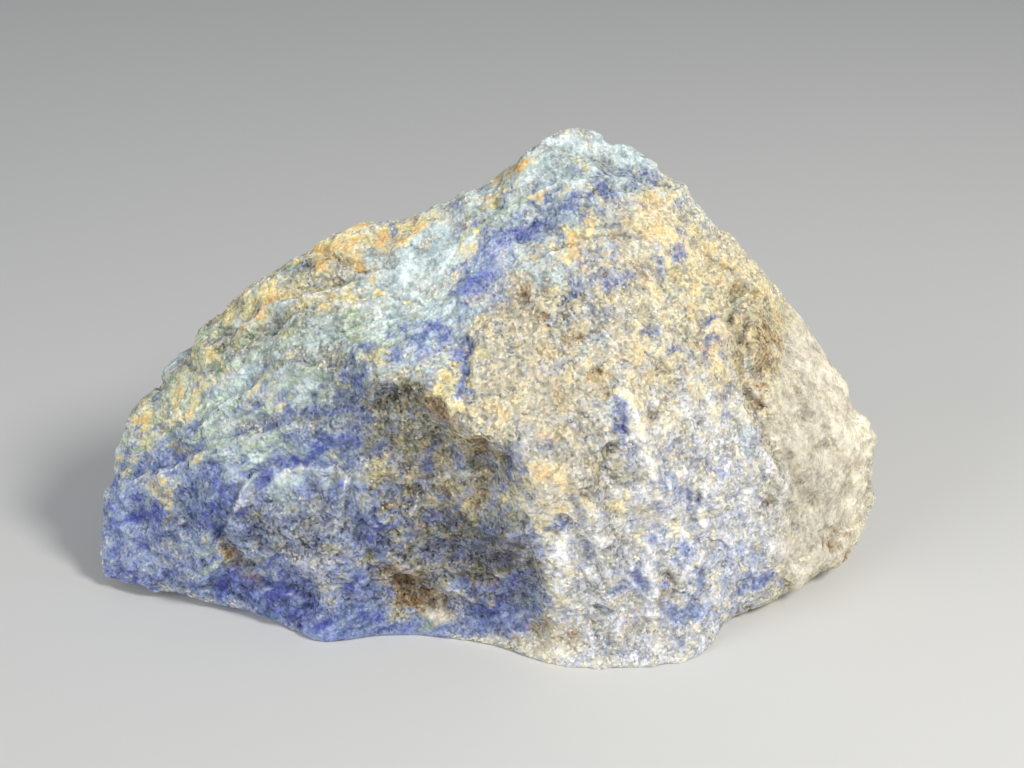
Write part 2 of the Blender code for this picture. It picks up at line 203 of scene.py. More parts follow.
        (316, 306, 8, 5, 0, 30), (320, 310, 30, 7, -15, 54), (322, 618, 12, 5, 0, 30),
        (330, 256, 14, 6, -5, 100), (337, 291, 16, 6, -20, 90), (337, 386, 7, 7, 0, 56),
        (343, 250, 9, 9, 0, 100), (343, 358, 10, 8, 0, 56), (350, 258, 14, 10, 0, 70),
        (355, 355, 12, 20, 0, 36), (367, 271, 16, 7, 30, 100), (370, 234, 20, 6, 0, 72),
        (383, 358, 12, 8, 0, 72), (385, 236, 16, 6, -5, 60), (390, 240, 22, 5, -5, 90),
        (390, 470, 20, 24, 0, 40), (407, 296, 24, 5, -5, 62), (420, 229, 28, 7, -14, 92),
        (420, 232, 20, 8, -10, 60), (430, 500, 40, 60, 0, 30), (436, 410, 10, 8, 0, 50),
        (445, 384, 14, 11, 0, 70), (455, 505, 20, 9, 0, 36), (462, 262, 6, 22, 10, 56),
        (465, 600, 24, 10, 0, 34), (470, 256, 5, 16, 12, 80), (475, 370, 20, 44, 0, 50),
        (480, 236, 6, 10, 20, 66), (480, 410, 12, 22, -35, 40), (486, 205, 16, 8, -35, 60),
        (493, 203, 10, 8, -40, 80), (500, 500, 12, 9, 0, 46), (504, 180, 12, 6, -40, 80),
        (508, 168, 24, 10, -45, 70), (513, 168, 14, 7, -45, 96), (520, 152, 18, 10, -45, 60),
        (522, 196, 8, 7, 0, 40), (528, 250, 10, 8, -25, 40), (543, 197, 15, 4, -6, 96),
        (560, 136, 20, 4, 0, 60), (560, 520, 20, 20, 0, 26), (562, 468, 10, 8, 0, 24),
        (565, 590, 12, 34, 0, 30), (567, 243, 9, 9, -20, 56), (574, 246, 12, 9, 0, 46),
        (575, 160, 12, 8, 0, 50), (575, 505, 50, 24, 0, 34), (577, 162, 11, 5, -10, 62),
        (580, 192, 9, 6, -15, 60), (585, 229, 14, 5, -25, 66), (588, 225, 16, 30, 0, 46),
        (590, 392, 20, 20, 0, 46), (593, 218, 10, 5, -15, 56), (600, 258, 24, 14, -20, 50),
        (600, 500, 60, 60, 0, 14), (620, 300, 60, 50, 0, 20), (628, 362, 14, 4, 10, 50),
        (632, 404, 10, 8, 0, 40), (640, 330, 140, 120, 0, 12), (660, 205, 14, 44, 10, 50),
        (664, 224, 10, 14, -10, 56), (670, 236, 6, 10, -10, 60), (687, 342, 5, 7, 0, 50),
        (690, 260, 30, 30, 20, 24), (700, 290, 10, 24, 0, 30), (700, 500, 10, 24, 0, 30),
        (710, 250, 30, 8, 38, 40), (728, 266, 30, 6, 38, 40), (740, 320, 40, 60, 20, 36),
        (752, 292, 16, 12, 35, 44), (765, 330, 20, 30, 0, 34), (765, 335, 24, 40, 0, 40),
        (780, 300, 24, 7, 40, 40), (792, 530, 8, 50, 0, 30), (808, 446, 9, 6, 10, 50),
        (838, 414, 12, 9, 0, 44),
    ],
    "rust": [
        (182, 446, 7, 9, -30, 60), (225, 555, 6, 8, 0, 60), (230, 546, 7, 14, -20, 56),
        (240, 566, 13, 9, 25, 74), (250, 320, 14, 4, -35, 66), (250, 578, 10, 7, 30, 60),
        (320, 262, 12, 6, 0, 36), (337, 293, 12, 3, -20, 50), (343, 262, 12, 4, 20, 50),
        (367, 273, 12, 4, 30, 70), (396, 598, 9, 7, 0, 90), (404, 580, 14, 11, 0, 100),
        (414, 598, 13, 9, 0, 100), (432, 404, 20, 8, 20, 84), (434, 598, 14, 10, 0, 74),
        (435, 500, 40, 40, 0, 26), (444, 414, 10, 10, 0, 90), (450, 440, 60, 60, 0, 20),
        (470, 572, 24, 7, 28, 60), (480, 444, 10, 16, -25, 60), (490, 480, 16, 16, 0, 36),
        (520, 300, 30, 14, -10, 30), (520, 642, 12, 7, 0, 50), (523, 300, 18, 9, 0, 56),
        (530, 372, 18, 9, 0, 40), (541, 626, 18, 12, 0, 44), (547, 318, 10, 8, 0, 56),
        (570, 634, 8, 8, 0, 50), (580, 332, 12, 8, 0, 66), (584, 494, 12, 12, 0, 52),
        (595, 372, 12, 6, 10, 86), (596, 474, 9, 9, 0, 46), (610, 440, 6, 10, 0, 46),
        (638, 616, 9, 9, 0, 50), (640, 272, 7, 11, 0, 66), (653, 413, 9, 7, 0, 50),
        (660, 600, 8, 8, 0, 46), (667, 580, 10, 10, 0, 50), (737, 290, 9, 8, 0, 66),
        (756, 392, 7, 10, 20, 56), (758, 384, 10, 20, 10, 36), (761, 505, 8, 7, 0, 66),
        (766, 338, 24, 26, 0, 56), (768, 346, 14, 18, 0, 40), (768, 350, 13, 14, 0, 50),
        (800, 470, 14, 24, 0, 20), (830, 556, 24, 10, -20, 30), (832, 540, 10, 5, -20, 96),
        (846, 556, 16, 8, -25, 72),
    ],
    "calcite": [
        (444, 608, 9, 11, 0, 95), (450, 420, 12, 8, 30, 40), (540, 400, 22, 20, 0, 50),
        (550, 640, 10, 20, 0, 60), (560, 410, 50, 30, 20, 36), (560, 474, 18, 26, 0, 70),
        (626, 222, 18, 16, 0, 46), (640, 360, 130, 110, 0, 28), (655, 506, 12, 16, 0, 50),
        (660, 640, 40, 10, 0, 40), (750, 330, 12, 20, 0, 50), (790, 430, 20, 56, 0, 80),
        (800, 340, 26, 44, 30, 84), (818, 540, 38, 34, 0, 96), (830, 450, 50, 116, 0, 100),
    ],
    "dark_grains": [
        (160, 384, 5, 5, 0, 70), (190, 450, 20, 8, 0, 30), (244, 562, 20, 8, 35, 34),
        (262, 306, 24, 4, -30, 60), (270, 324, 18, 14, -20, 46), (300, 530, 60, 30, 0, 34),
        (307, 266, 22, 8, -15, 66), (317, 316, 16, 10, 0, 40), (320, 420, 40, 16, 0, 36),
        (330, 288, 26, 4, -12, 60), (350, 400, 22, 40, 0, 36), (375, 380, 4, 22, 0, 50),
        (392, 394, 18, 10, 0, 70), (400, 440, 50, 44, 0, 46), (410, 590, 30, 20, 0, 66),
        (412, 386, 34, 11, 0, 84), (430, 480, 90, 90, 0, 46), (440, 545, 50, 26, 0, 54),
        (466, 480, 44, 42, 0, 46), (502, 556, 40, 38, 25, 80), (505, 456, 12, 24, -30, 80),
        (541, 626, 20, 12, 0, 34), (558, 232, 14, 4, -15, 50), (560, 320, 60, 34, 0, 36),
        (590, 210, 18, 6, -15, 60), (590, 484, 26, 26, 0, 44), (608, 450, 14, 14, 0, 30),
        (613, 559, 8, 14, 0, 50), (636, 444, 7, 18, 0, 26), (660, 380, 60, 40, 0, 24),
        (664, 580, 10, 14, 0, 46), (670, 500, 130, 130, 0, 16), (730, 322, 7, 8, 0, 80),
        (737, 290, 8, 8, 0, 70), (761, 505, 10, 9, 0, 50), (764, 350, 9, 20, 0, 20),
        (776, 454, 8, 16, 0, 50), (793, 388, 5, 6, 0, 50), (804, 418, 8, 6, 0, 44),
        (818, 506, 14, 12, 0, 44), (820, 570, 40, 14, -20, 56), (832, 540, 11, 5, -20, 36),
    ],
}
# Clear calcite, which breaks smoothly, and the powdery cream face beside the hollow.
CALM_PLACES = [
    (556, 474, 20, 24, 0, 80), (655, 215, 26, 24, 0, 60), (770, 350, 20, 40, 0, 80),
    (790, 430, 14, 56, 0, 60), (800, 340, 26, 44, 30, 90), (818, 540, 38, 34, 0, 96),
    (830, 450, 46, 116, 0, 100),
]
# Places that are paler or darker than their minerals alone: partly the stone's own paler, powdery
# spots and darker spots, and partly painted light and painted shade, as in the hollow and along the lower
# left edge.
PALER = [
    (110, 540, 20, 20, 0, 25), (116, 485, 20, 36, 0, 56), (120, 520, 26, 50, 0, 30),
    (150, 560, 40, 16, 0, 24), (165, 442, 14, 24, 0, 60), (170, 435, 14, 20, 0, 50),
    (175, 360, 14, 10, 0, 50), (190, 400, 20, 18, 0, 35), (220, 400, 40, 16, 0, 36),
    (230, 412, 40, 10, 0, 50), (240, 378, 44, 10, -10, 45), (240, 474, 70, 26, 0, 30),
    (256, 574, 14, 8, 0, 60), (270, 468, 50, 14, 0, 80), (300, 385, 18, 10, 0, 45),
    (304, 472, 22, 18, 0, 70), (345, 250, 12, 20, 0, 35), (352, 500, 8, 20, 0, 60),
    (355, 400, 12, 8, 0, 60), (355, 500, 12, 16, 0, 40), (360, 508, 10, 20, 0, 30),
    (362, 530, 12, 30, 0, 56), (372, 330, 14, 24, 0, 60), (400, 300, 40, 16, 0, 40),
    (400, 345, 40, 20, 0, 46), (402, 368, 12, 14, 0, 46), (410, 455, 30, 10, 0, 30),
    (425, 345, 18, 24, 0, 40), (430, 345, 20, 14, 0, 40), (430, 400, 20, 8, 0, 40),
    (435, 265, 45, 30, -20, 60), (450, 385, 20, 14, 0, 40), (455, 295, 35, 35, -35, 55),
    (455, 470, 20, 20, 0, 50), (488, 256, 34, 26, -40, 50), (490, 502, 26, 12, 0, 90),
    (500, 270, 20, 30, 0, 30), (500, 280, 24, 24, 0, 26), (510, 450, 10, 12, 0, 66),
    (512, 218, 14, 20, 0, 70), (520, 625, 14, 14, 0, 30), (538, 550, 14, 14, 0, 60),
    (545, 540, 30, 50, 15, 60), (546, 562, 11, 14, 0, 56), (560, 190, 40, 24, 0, 24),
    (560, 195, 20, 14, 0, 50), (560, 505, 50, 10, 0, 40), (565, 620, 20, 30, 0, 30),
    (572, 570, 12, 80, 0, 40), (580, 235, 24, 14, 0, 50), (584, 546, 8, 24, 0, 30),
    (585, 265, 20, 30, 0, 40), (585, 560, 10, 40, 0, 46), (592, 552, 10, 20, 0, 60),
    (600, 385, 20, 14, 0, 30), (603, 410, 10, 26, -15, 36), (610, 340, 20, 30, 0, 30),
    (625, 415, 14, 30, -10, 50), (640, 600, 24, 24, 0, 30), (640, 640, 16, 10, 0, 30),
    (650, 550, 30, 50, 0, 46), (652, 440, 12, 40, 0, 50), (655, 160, 20, 8, 10, 50),
    (655, 240, 14, 40, 10, 40), (655, 310, 20, 14, 0, 50), (670, 400, 24, 50, 0, 30),
    (678, 257, 20, 20, 0, 56), (690, 330, 30, 30, 0, 30), (700, 520, 70, 40, 0, 46),
    (700, 600, 20, 12, 0, 50), (705, 610, 30, 12, -10, 80), (720, 400, 24, 30, 0, 40),
    (720, 560, 50, 40, 0, 56), (737, 465, 14, 14, 0, 40), (742, 430, 12, 16, 0, 50),
    (765, 400, 16, 20, 20, 30), (790, 300, 20, 14, 30, 40), (834, 442, 14, 14, 0, 14),
    (860, 460, 10, 50, 0, 70), (860, 530, 12, 20, 0, 60), (862, 450, 8, 70, 0, 40),
]
# Painted shade in the hollow beside the ridge and along the lower edge, with darker spots of the stone.
DARKER = [
    (150, 582, 60, 12, 0, 45), (180, 505, 30, 14, 0, 35), (210, 300, 20, 12, -30, 35),
    (225, 350, 24, 12, 0, 50), (240, 345, 30, 14, -30, 24), (240, 520, 24, 16, 0, 50),
    (250, 346, 26, 14, -25, 44), (250, 590, 36, 14, 10, 35), (290, 520, 70, 24, 5, 36),
    (300, 540, 60, 40, 0, 24), (310, 360, 30, 8, 0, 45), (310, 370, 20, 20, 0, 36),
    (320, 258, 16, 10, 0, 40), (320, 262, 14, 8, 0, 36), (320, 410, 20, 20, 0, 25),
    (330, 540, 60, 24, 0, 45), (340, 480, 14, 30, 0, 20), (345, 590, 40, 14, 0, 30),
    (372, 360, 20, 14, 0, 50), (375, 275, 30, 16, 0, 50), (385, 440, 22, 34, 0, 56),
    (390, 462, 12, 10, 0, 30), (390, 590, 20, 20, 0, 40), (395, 505, 22, 24, 0, 35),
    (395, 540, 24, 24, 0, 46), (400, 260, 40, 20, 0, 20), (400, 400, 40, 14, 0, 40),
    (400, 410, 40, 10, 0, 24), (410, 506, 24, 28, 0, 36), (420, 545, 50, 20, 0, 10),
    (425, 548, 28, 16, 0, 24), (460, 590, 50, 20, 10, 35), (470, 540, 30, 30, 0, 20),
    (480, 316, 16, 24, 0, 36), (490, 240, 14, 10, 0, 25), (500, 560, 30, 30, 20, 30),
    (520, 300, 20, 24, 0, 30), (526, 582, 12, 14, -30, 46), (540, 580, 14, 14, 0, 50),
    (540, 600, 20, 20, 0, 40), (560, 180, 60, 40, 0, 24), (560, 300, 50, 40, 0, 30),
    (570, 470, 12, 10, 0, 40), (580, 420, 20, 40, 0, 36), (598, 506, 8, 26, -10, 46),
    (600, 155, 30, 8, 0, 25), (605, 545, 9, 50, 5, 66), (620, 190, 30, 12, 0, 35),
    (630, 440, 8, 30, -10, 40), (640, 300, 110, 90, 0, 22), (640, 480, 14, 40, 0, 36),
    (690, 300, 20, 50, 0, 26), (690, 385, 20, 12, 0, 36), (700, 320, 20, 14, 0, 20),
    (755, 350, 20, 60, 0, 50), (766, 360, 12, 20, 0, 30), (768, 345, 20, 26, 0, 30),
    (770, 515, 16, 12, 0, 36), (795, 440, 24, 60, 0, 50), (805, 450, 20, 40, 0, 36),
    (808, 482, 12, 14, 0, 20), (815, 480, 14, 20, 0, 30), (815, 540, 30, 20, 0, 6),
    (820, 490, 20, 40, 0, 20), (825, 460, 44, 110, 0, 34),
]

# Raised ribs and sunken furrows on the front: half width and height in millimetres, then the
# picture columns and rows that they run through.
RIBS = [
    (1.1, 0.7, [(632, 402), (642, 436), (656, 478)]),
    (1.2, 0.6, [(738, 396), (750, 436), (774, 470), (796, 500)]),
    (1.2, 0.35, [(690, 380), (722, 430), (752, 476)]),
    (1.5, 0.45, [(566, 440), (590, 500), (600, 560)]),
    (1.6, 0.5, [(560, 545), (556, 600), (560, 652)]),
    (1.0, 0.45, [(600, 540), (612, 600), (618, 645)]),
    (0.9, -0.6, [(463, 340), (467, 372), (470, 402)]),
    (1.0, -0.3, [(618, 430), (612, 460), (622, 482)]),
    (1.3, -0.7, [(735, 300), (744, 350), (752, 402)]),
    (1.1, -0.35, [(752, 402), (776, 452), (800, 500), (796, 560)]),
    (1.2, 0.55, [(230, 300), (280, 280), (330, 268)]),
    (1.1, -0.45, [(268, 330), (300, 316), (330, 312)]),
    (1.0, 0.4, [(400, 250), (436, 232), (470, 212)]),
    (1.1, 0.4, [(470, 240), (510, 212), (545, 190)]),
    (1.4, -0.5, [(395, 392), (420, 410), (440, 440)]),
    (1.6, -0.5, [(480, 460), (500, 490), (520, 525)]),
    (1.5, -0.8, [(384, 575), (412, 590), (440, 604)]),
    (1.2, -0.6, [(222, 536), (240, 562), (262, 584)]),
    (1.0, 0.45, [(310, 636), (322, 612), (330, 592)]),
    (1.6, 0.45, [(820, 400), (845, 440), (856, 480)]),
    (1.3, -0.45, [(520, 600), (534, 570), (530, 540)]),
    (1.1, 0.4, [(360, 590), (366, 612), (370, 634)]),
    (1.0, 0.45, [(640, 540), (652, 570), (650, 610)]),
    (0.9, -0.4, [(700, 540), (704, 580), (690, 620)]),
    (1.0, 0.35, [(540, 250), (590, 236), (640, 226)]),
    (1.0, -0.35, [(560, 150), (600, 156), (640, 170)]),
    (0.9, 0.35, [(640, 270), (660, 320), (668, 360)]),
    (0.9, 0.35, [(700, 290), (712, 330), (716, 372)]),
]
# Ledges on the front: how far behind the edge the ledge fades, and its height, in millimetres,
# then the run of its edge. The stone stands higher on the left hand of the run's direction.
STEPS = [
    (2.6, 0.8, [(344, 503), (346, 474), (338, 466), (300, 468), (268, 464), (244, 484), (228, 520)]),
    (2.4, 0.7, [(350, 284), (318, 292), (290, 300), (264, 306), (236, 334), (204, 350)]),
    (2.2, 0.55, [(392, 268), (368, 276), (350, 270), (330, 262)]),
    (2.4, 0.55, [(372, 300), (330, 304), (292, 318), (262, 340)]),
    (2.0, 0.55, [(376, 400), (375, 376), (366, 352), (346, 338)]),
    (2.2, 0.5, [(330, 366), (290, 366), (256, 386), (226, 400), (196, 430)]),
    (2.0, 0.45, [(330, 428), (290, 424), (250, 436), (214, 440)]),
    (2.0, 0.45, [(244, 452), (200, 452), (168, 470), (140, 478)]),
    (2.2, 0.5, [(214, 560), (186, 532), (180, 505), (160, 492)]),
    (2.0, 0.5, [(400, 560), (380, 540), (372, 515)]),
    (1.8, 0.3, [(500, 232), (478, 256), (460, 296), (456, 340)]),
    (2.0, 0.45, [(640, 240), (600, 240), (560, 250), (530, 262)]),
    (2.0, 0.45, [(600, 196), (560, 204), (530, 206)]),
    (2.0, 0.4, [(650, 184), (610, 176), (570, 182), (540, 192)]),
    (2.0, 0.6, [(616, 402), (630, 432), (604, 438)]),
    (2.2, 0.6, [(757, 300), (750, 330), (742, 350), (748, 384), (760, 400)]),
    (2.4, 0.6, [(700, 240), (716, 262), (740, 276), (752, 290)]),
    (2.2, 0.55, [(848, 530), (826, 536), (810, 552)]),
    (2.0, 0.5, [(790, 380), (806, 408), (824, 430)]),
    (2.0, 0.45, [(664, 320), (650, 322), (640, 340)]),
    (2.0, 0.4, [(716, 318), (700, 326), (696, 350)]),
    (2.2, 0.5, [(640, 590), (620, 570), (612, 540)]),
    (2.4, 0.5, [(480, 470), (450, 470), (424, 482), (410, 510)]),
    (2.0, 0.45, [(470, 560), (440, 560), (410, 570)]),
    (2.0, 0.45, [(420, 610), (450, 590), (470, 600)]),
    (2.0, 0.45, [(560, 470), (530, 500), (524, 530)]),
    (2.2, 0.45, [(700, 500), (690, 540), (700, 570)]),
    (2.0, 0.45, [(330, 560), (290, 560), (260, 548)]),
    (2.0, 0.45, [(300, 596), (270, 588), (240, 590)]),
]
# Small pits on the front: picture column and row, half width in picture dots, depth in
# millimetres.
PITS = [
    (804, 418, 8, 0.7), (793, 388, 6, 0.5), (832, 540, 12, 0.8), (730, 323, 8, 0.8), (737, 290, 9, 0.8),
    (404, 582, 12, 0.5), (444, 606, 8, 0.5), (160, 384, 6, 0.7), (307, 266, 12, 0.6),
    (412, 388, 14, 0.6), (541, 628, 10, 0.3), (240, 562, 9, 0.3), (505, 462, 8, 0.6),
    (584, 492, 7, 0.5), (761, 505, 6, 0.6), (608, 450, 8, 0.6), (815, 500, 9, 0.3), (848, 470, 9, 0.2),
    (270, 324, 12, 0.5), (547, 318, 7, 0.4), (523, 300, 8, 0.4), (595, 372, 7, 0.5), (653, 413, 6, 0.2),
    (667, 580, 7, 0.5), (480, 446, 8, 0.5), (436, 404, 9, 0.6), (822, 446, 7, 0.5), (776, 454, 6, 0.6),
]


# The camera's view

def camera_axes():
    """The camera's place in metres, and its right, up and forward directions."""
    right = Vector((1.0, 0.0, 0.0))
    up = Vector((0.0, math.sin(CAMERA_ELEVATION), math.cos(CAMERA_ELEVATION)))
    forward = Vector((0.0, math.cos(CAMERA_ELEVATION), -math.sin(CAMERA_ELEVATION)))
    place = (Vector(CAMERA_TARGET) - forward * CAMERA_DISTANCE) * MM
    return place, right, up, forward


def sight_line(column, row):
    """The direction from the camera through a place in the picture."""
    _, right, up, forward = camera_axes()
    across = (column - PICTURE_WIDTH / 2) / FOCAL_DOTS
    rise = (PICTURE_HEIGHT / 2 - row) / FOCAL_DOTS
    return (forward + right * across + up * rise).normalized()


def seen_at(points):
    """The picture column and row at which the camera sees each point."""
    place, right, up, forward = (np.array(v) for v in camera_axes())
    away = points - place
    depth = away @ forward
    columns = PICTURE_WIDTH / 2 + FOCAL_DOTS * (away @ right) / depth
    rows = PICTURE_HEIGHT / 2 - FOCAL_DOTS * (away @ up) / depth
    return columns, rows


# Mesh numbers

def numbers_of(items, name, width, kind=np.float32):
    """A row of numbers for each item of a mesh."""
    flat = np.empty(len(items) * width, kind)
    items.foreach_get(name, flat)
    return flat.reshape(-1, width)


def points_of(mesh):
    return numbers_of(mesh.vertices, "co", 3).astype(float)


def normals_of(mesh):
    return numbers_of(mesh.vertex_normals, "vector", 3).astype(float)


def store(mesh, name, values):
    """Keeps one number for each point of the mesh under a name that the nodes can read."""
    layer = mesh.attributes.get(name) or mesh.attributes.new(name, "FLOAT", "POINT")
    layer.data.foreach_set("value", np.asarray(values, np.float32))


def smoothed(rows, edges, rounds):
    """Each point's row of numbers averaged with its neighbours', several times over."""
    count = np.bincount(edges.ravel(), minlength=len(rows)).astype(float)
    count = np.maximum(count, 1.0)[:, None]
    for _ in range(rounds):
        total = np.zeros_like(rows)
        np.add.at(total, edges[:, 0], rows[edges[:, 1]])
        np.add.at(total, edges[:, 1], rows[edges[:, 0]])
        rows = 0.5 * rows + 0.5 * total / count
    return rows


def smooth_step(low, high, values):
    t = np.clip((values - low) / (high - low), 0.0, 1.0)
    return t * t * (3.0 - 2.0 * t)


def cloud(points, size, seed):
    """Soft noise from 0 to 1, about evenly spread, with blotches of a size in metres."""
    shift = Vector((seed * 7.31, seed * 3.17, seed * 5.77))
    values = [
        noise.fractal(Vector(p) + shift, 0.9, 2.0, 3, noise_basis="PERLIN_ORIGINAL")
        for p in (points / size).tolist()
    ]
    return smooth_step(-0.55, 0.55, np.array(values))


def drift(points, size, reach, seed):
    """A small shift of each point by smooth noise, in metres."""
    shift = Vector((seed * 4.13, seed * 9.71, seed * 2.39))
    moves = [
        noise.noise_vector(Vector(p) + shift, noise_basis="PERLIN_ORIGINAL")
        for p in (points / size).tolist()
    ]
    return np.array(moves) * reach


def plain_copy(host, name):
    """A host's mesh with its modifiers made real, as a new plain mesh."""
    bpy.context.view_layer.update()
    graph = bpy.context.evaluated_depsgraph_get()
    mesh = bpy.data.meshes.new_from_object(host.evaluated_get(graph))
    mesh.name = name
    return mesh


# Node building

HALF = (0.5, 0.5, 0.5)


class Nodes:
    """Adds nodes to one tree and links them."""

    def __init__(self, tree):
        self.tree = tree

    def put(self, socket, value):
        """Gives a socket a plain value, or links another node's output to it."""
        if isinstance(value, bpy.types.NodeSocket):
            self.tree.links.new(value, socket)
        else:
            socket.default_value = value

    def add(self, kind, inputs=None, **settings):
        """A new node, with its settings, and with its inputs given by name or number.

        An input whose value is None keeps its own, or doesn't exist with these settings.
        """
        node = self.tree.nodes.new(kind)
        for name, value in settings.items():
            setattr(node, name, value)
        for key, value in (inputs or {}).items():
            if value is not None:
                self.put(node.inputs[key], value)
        return node

    def maths(self, operation, a, b=None):
        return self.add("ShaderNodeMath", {0: a, 1: b}, operation=operation).outputs[0]

    def plus(self, total, *others):
        for value in others:
            total = self.maths("ADD", total, value)
        return total

    def minus(self, a, b):
        return self.maths("SUBTRACT", a, b)

    def times(self, a, b):
        return self.maths("MULTIPLY", a, b)

    def over(self, a, b):
        return self.maths("DIVIDE", a, b)

    def vector(self, operation, a, b=None, scale=None):
        node = self.add("ShaderNodeVectorMath", {0: a, 1: b, "Scale": scale}, operation=operation)
        return node.outputs["Value" if operation == "DOT_PRODUCT" else "Vector"]

    def parts(self, vector):
        return self.add("ShaderNodeSeparateXYZ", {0: vector}).outputs

    def stretch(self, value, low, high, to_low=0.0, to_high=1.0):
        """A value eased from one range into another, and held at its ends."""
        ranges = {"Value": value, "From Min": low, "From Max": high, "To Min": to_low, "To Max": to_high}
        return self.add("ShaderNodeMapRange", ranges, interpolation_type="SMOOTHSTEP").outputs["Result"]

    def noise(self, vector, size, detail=3.0, roughness=0.55):
        """Soft noise with blotches of a size, as a value and as a colour of three values."""
        inputs = {"Vector": vector, "Scale": 1.0 / size, "Detail": detail, "Roughness": roughness}
        return self.add("ShaderNodeTexNoise", inputs, noise_dimensions="3D").outputs

    def cells(self, vector, size):
        """Cells of a size, each with three random values and its own middle."""
        inputs = {"Vector": vector, "Scale": self.over(1.0, size)}
        return self.add("ShaderNodeTexVoronoi", inputs, voronoi_dimensions="3D").outputs

    def tilted_cells(self, vector, size):
        """The random values of the cells, and a height that leans its own way in each of them."""
        cells = self.cells(vector, size)
        lean = self.vector("SUBTRACT", cells["Color"], HALF)
        offset = self.vector("SUBTRACT", vector, cells["Position"])
        return cells["Color"], self.vector("DOT_PRODUCT", offset, lean)

    def wandered(self, point, size, reach):
        """A point moved about by soft noise."""
        move = self.vector("SUBTRACT", self.noise(point, size)["Color"], HALF)
        return self.vector("ADD", point, self.vector("SCALE", move, scale=reach))

    def turned(self, vector, turn, lengths):
        """A place measured along axes that are turned about Y and stretched."""
        inputs = {"Vector": vector, "Rotation": (0.0, math.radians(turn), 0.0), "Scale": lengths}
        return self.add("ShaderNodeMapping", inputs, vector_type="TEXTURE").outputs[0]

    def mix(self, factor, a, b):
        return self.add("ShaderNodeMix", {0: factor, 6: a, 7: b}, data_type="RGBA").outputs[2]

    def attribute(self, name):
        return self.add("ShaderNodeAttribute", attribute_name=name).outputs["Fac"]

    def point_value(self, name):
        return self.add("GeometryNodeInputNamedAttribute", {"Name": name}, data_type="FLOAT").outputs[0]

    def group(self, name, inputs):
        """The outputs of a node group that is set in this tree."""
        return self.add("ShaderNodeGroup", inputs, node_tree=bpy.data.node_groups[name]).outputs


def new_group(kind, name, inputs, outputs):
    """A new node group with its sockets, given as name, kind, default and subtype."""
    tree = bpy.data.node_groups.new(name, kind)
    for direction, sockets in (("INPUT", inputs), ("OUTPUT", outputs)):
        for label, value_kind, default, subtype in sockets:
            socket = tree.interface.new_socket(
                label, in_out=direction, socket_type="NodeSocket" + value_kind
            )
            if subtype:
                socket.subtype = subtype
            if default is not None:
                socket.default_value = default
    nodes = Nodes(tree)
    return nodes, nodes.add("NodeGroupInput").outputs, nodes.add("NodeGroupOutput").inputs


# The broken surface

# The directions in which the layers of the left and of the right face follow each other.
LEFT_LAYERS_ACROSS = (-0.45, -0.25, 0.86)
RIGHT_LAYERS_ACROSS = (0.84, -0.2, 0.5)
# Sizes and reaches in metres of the noise that bends the layers and frays the breaks.
WARP_SIZE = 0.007
WARP_REACH = 0.0052
FRAY_SIZE = 0.0016
FRAY_REACH = 0.0009
# Places of about this size share the same strength of layers and chips.
REGION_SIZE = 0.011
SWELL_SIZE = 0.0038
SEED_STEP = (0.011, 0.017, 0.023)
# Between two layers lies a finer one, this much closer and lower.
FINE_SPACING = 0.43
FINE_HEIGHT = 0.45
# A layer rises over this share of its spacing and drops off over the rest.
RISING_SHARE = 0.82
# The noise values between which layers, chips and pits begin, and a pit's rim and floor in cells.
LAYERED_REGIONS = (0.48, 0.64)
CHIPPED_REGIONS = (0.35, 0.65)
PITTED_CELLS = (0.72, 0.95)
PIT_BOWL = (0.34, 0.10)
# The heights above the base, in metres, between which the relief begins.
BASE_EDGE = (0.0002, 0.0016)
# What calm places keep of the sharp breaks, of the swells and of the large break faces.
CALM_SHARP = 0.30
CALM_SWELL = 0.34
CALM_FACES = 0.60

RELIEF_INPUTS = {
    # name: default, subtype
    "Ledge Spacing": (0.0024, "DISTANCE"),
    "Ledge Height": (0.00030, "DISTANCE"),
    "Break Size": (0.0046, "DISTANCE"),
    "Break Slope": (0.13, None),
    "Chip Size": (0.0021, "DISTANCE"),
    "Chip Slope": (0.22, None),
    "Flake Size": (0.0010, "DISTANCE"),
    "Flake Slope": (0.32, None),
    "Swell Height": (0.00020, "DISTANCE"),
    "Pit Size": (0.0030, "DISTANCE"),
    "Pit Depth": (0.00050, "DISTANCE"),
    "Seed": (4.0, None),
}


def ledges(nodes, point, across, spacing, height, strength):
    """Saw-toothed layers that rise slowly and drop off sharply, in metres of height."""
    travel = nodes.over(nodes.vector("DOT_PRODUCT", point, across), spacing)
    step = nodes.maths("FRACT", travel)
    falling = nodes.over(nodes.minus(1.0, step), 1.0 - RISING_SHARE)
    profile = nodes.maths("MINIMUM", nodes.over(step, RISING_SHARE), falling)
    return nodes.times(nodes.minus(profile, 0.5), nodes.times(height, strength))


def chips(nodes, point, size, slope):
    """Small break faces: each cell of the stone is tilted its own way."""
    return nodes.times(nodes.tilted_cells(point, size)[1], slope)


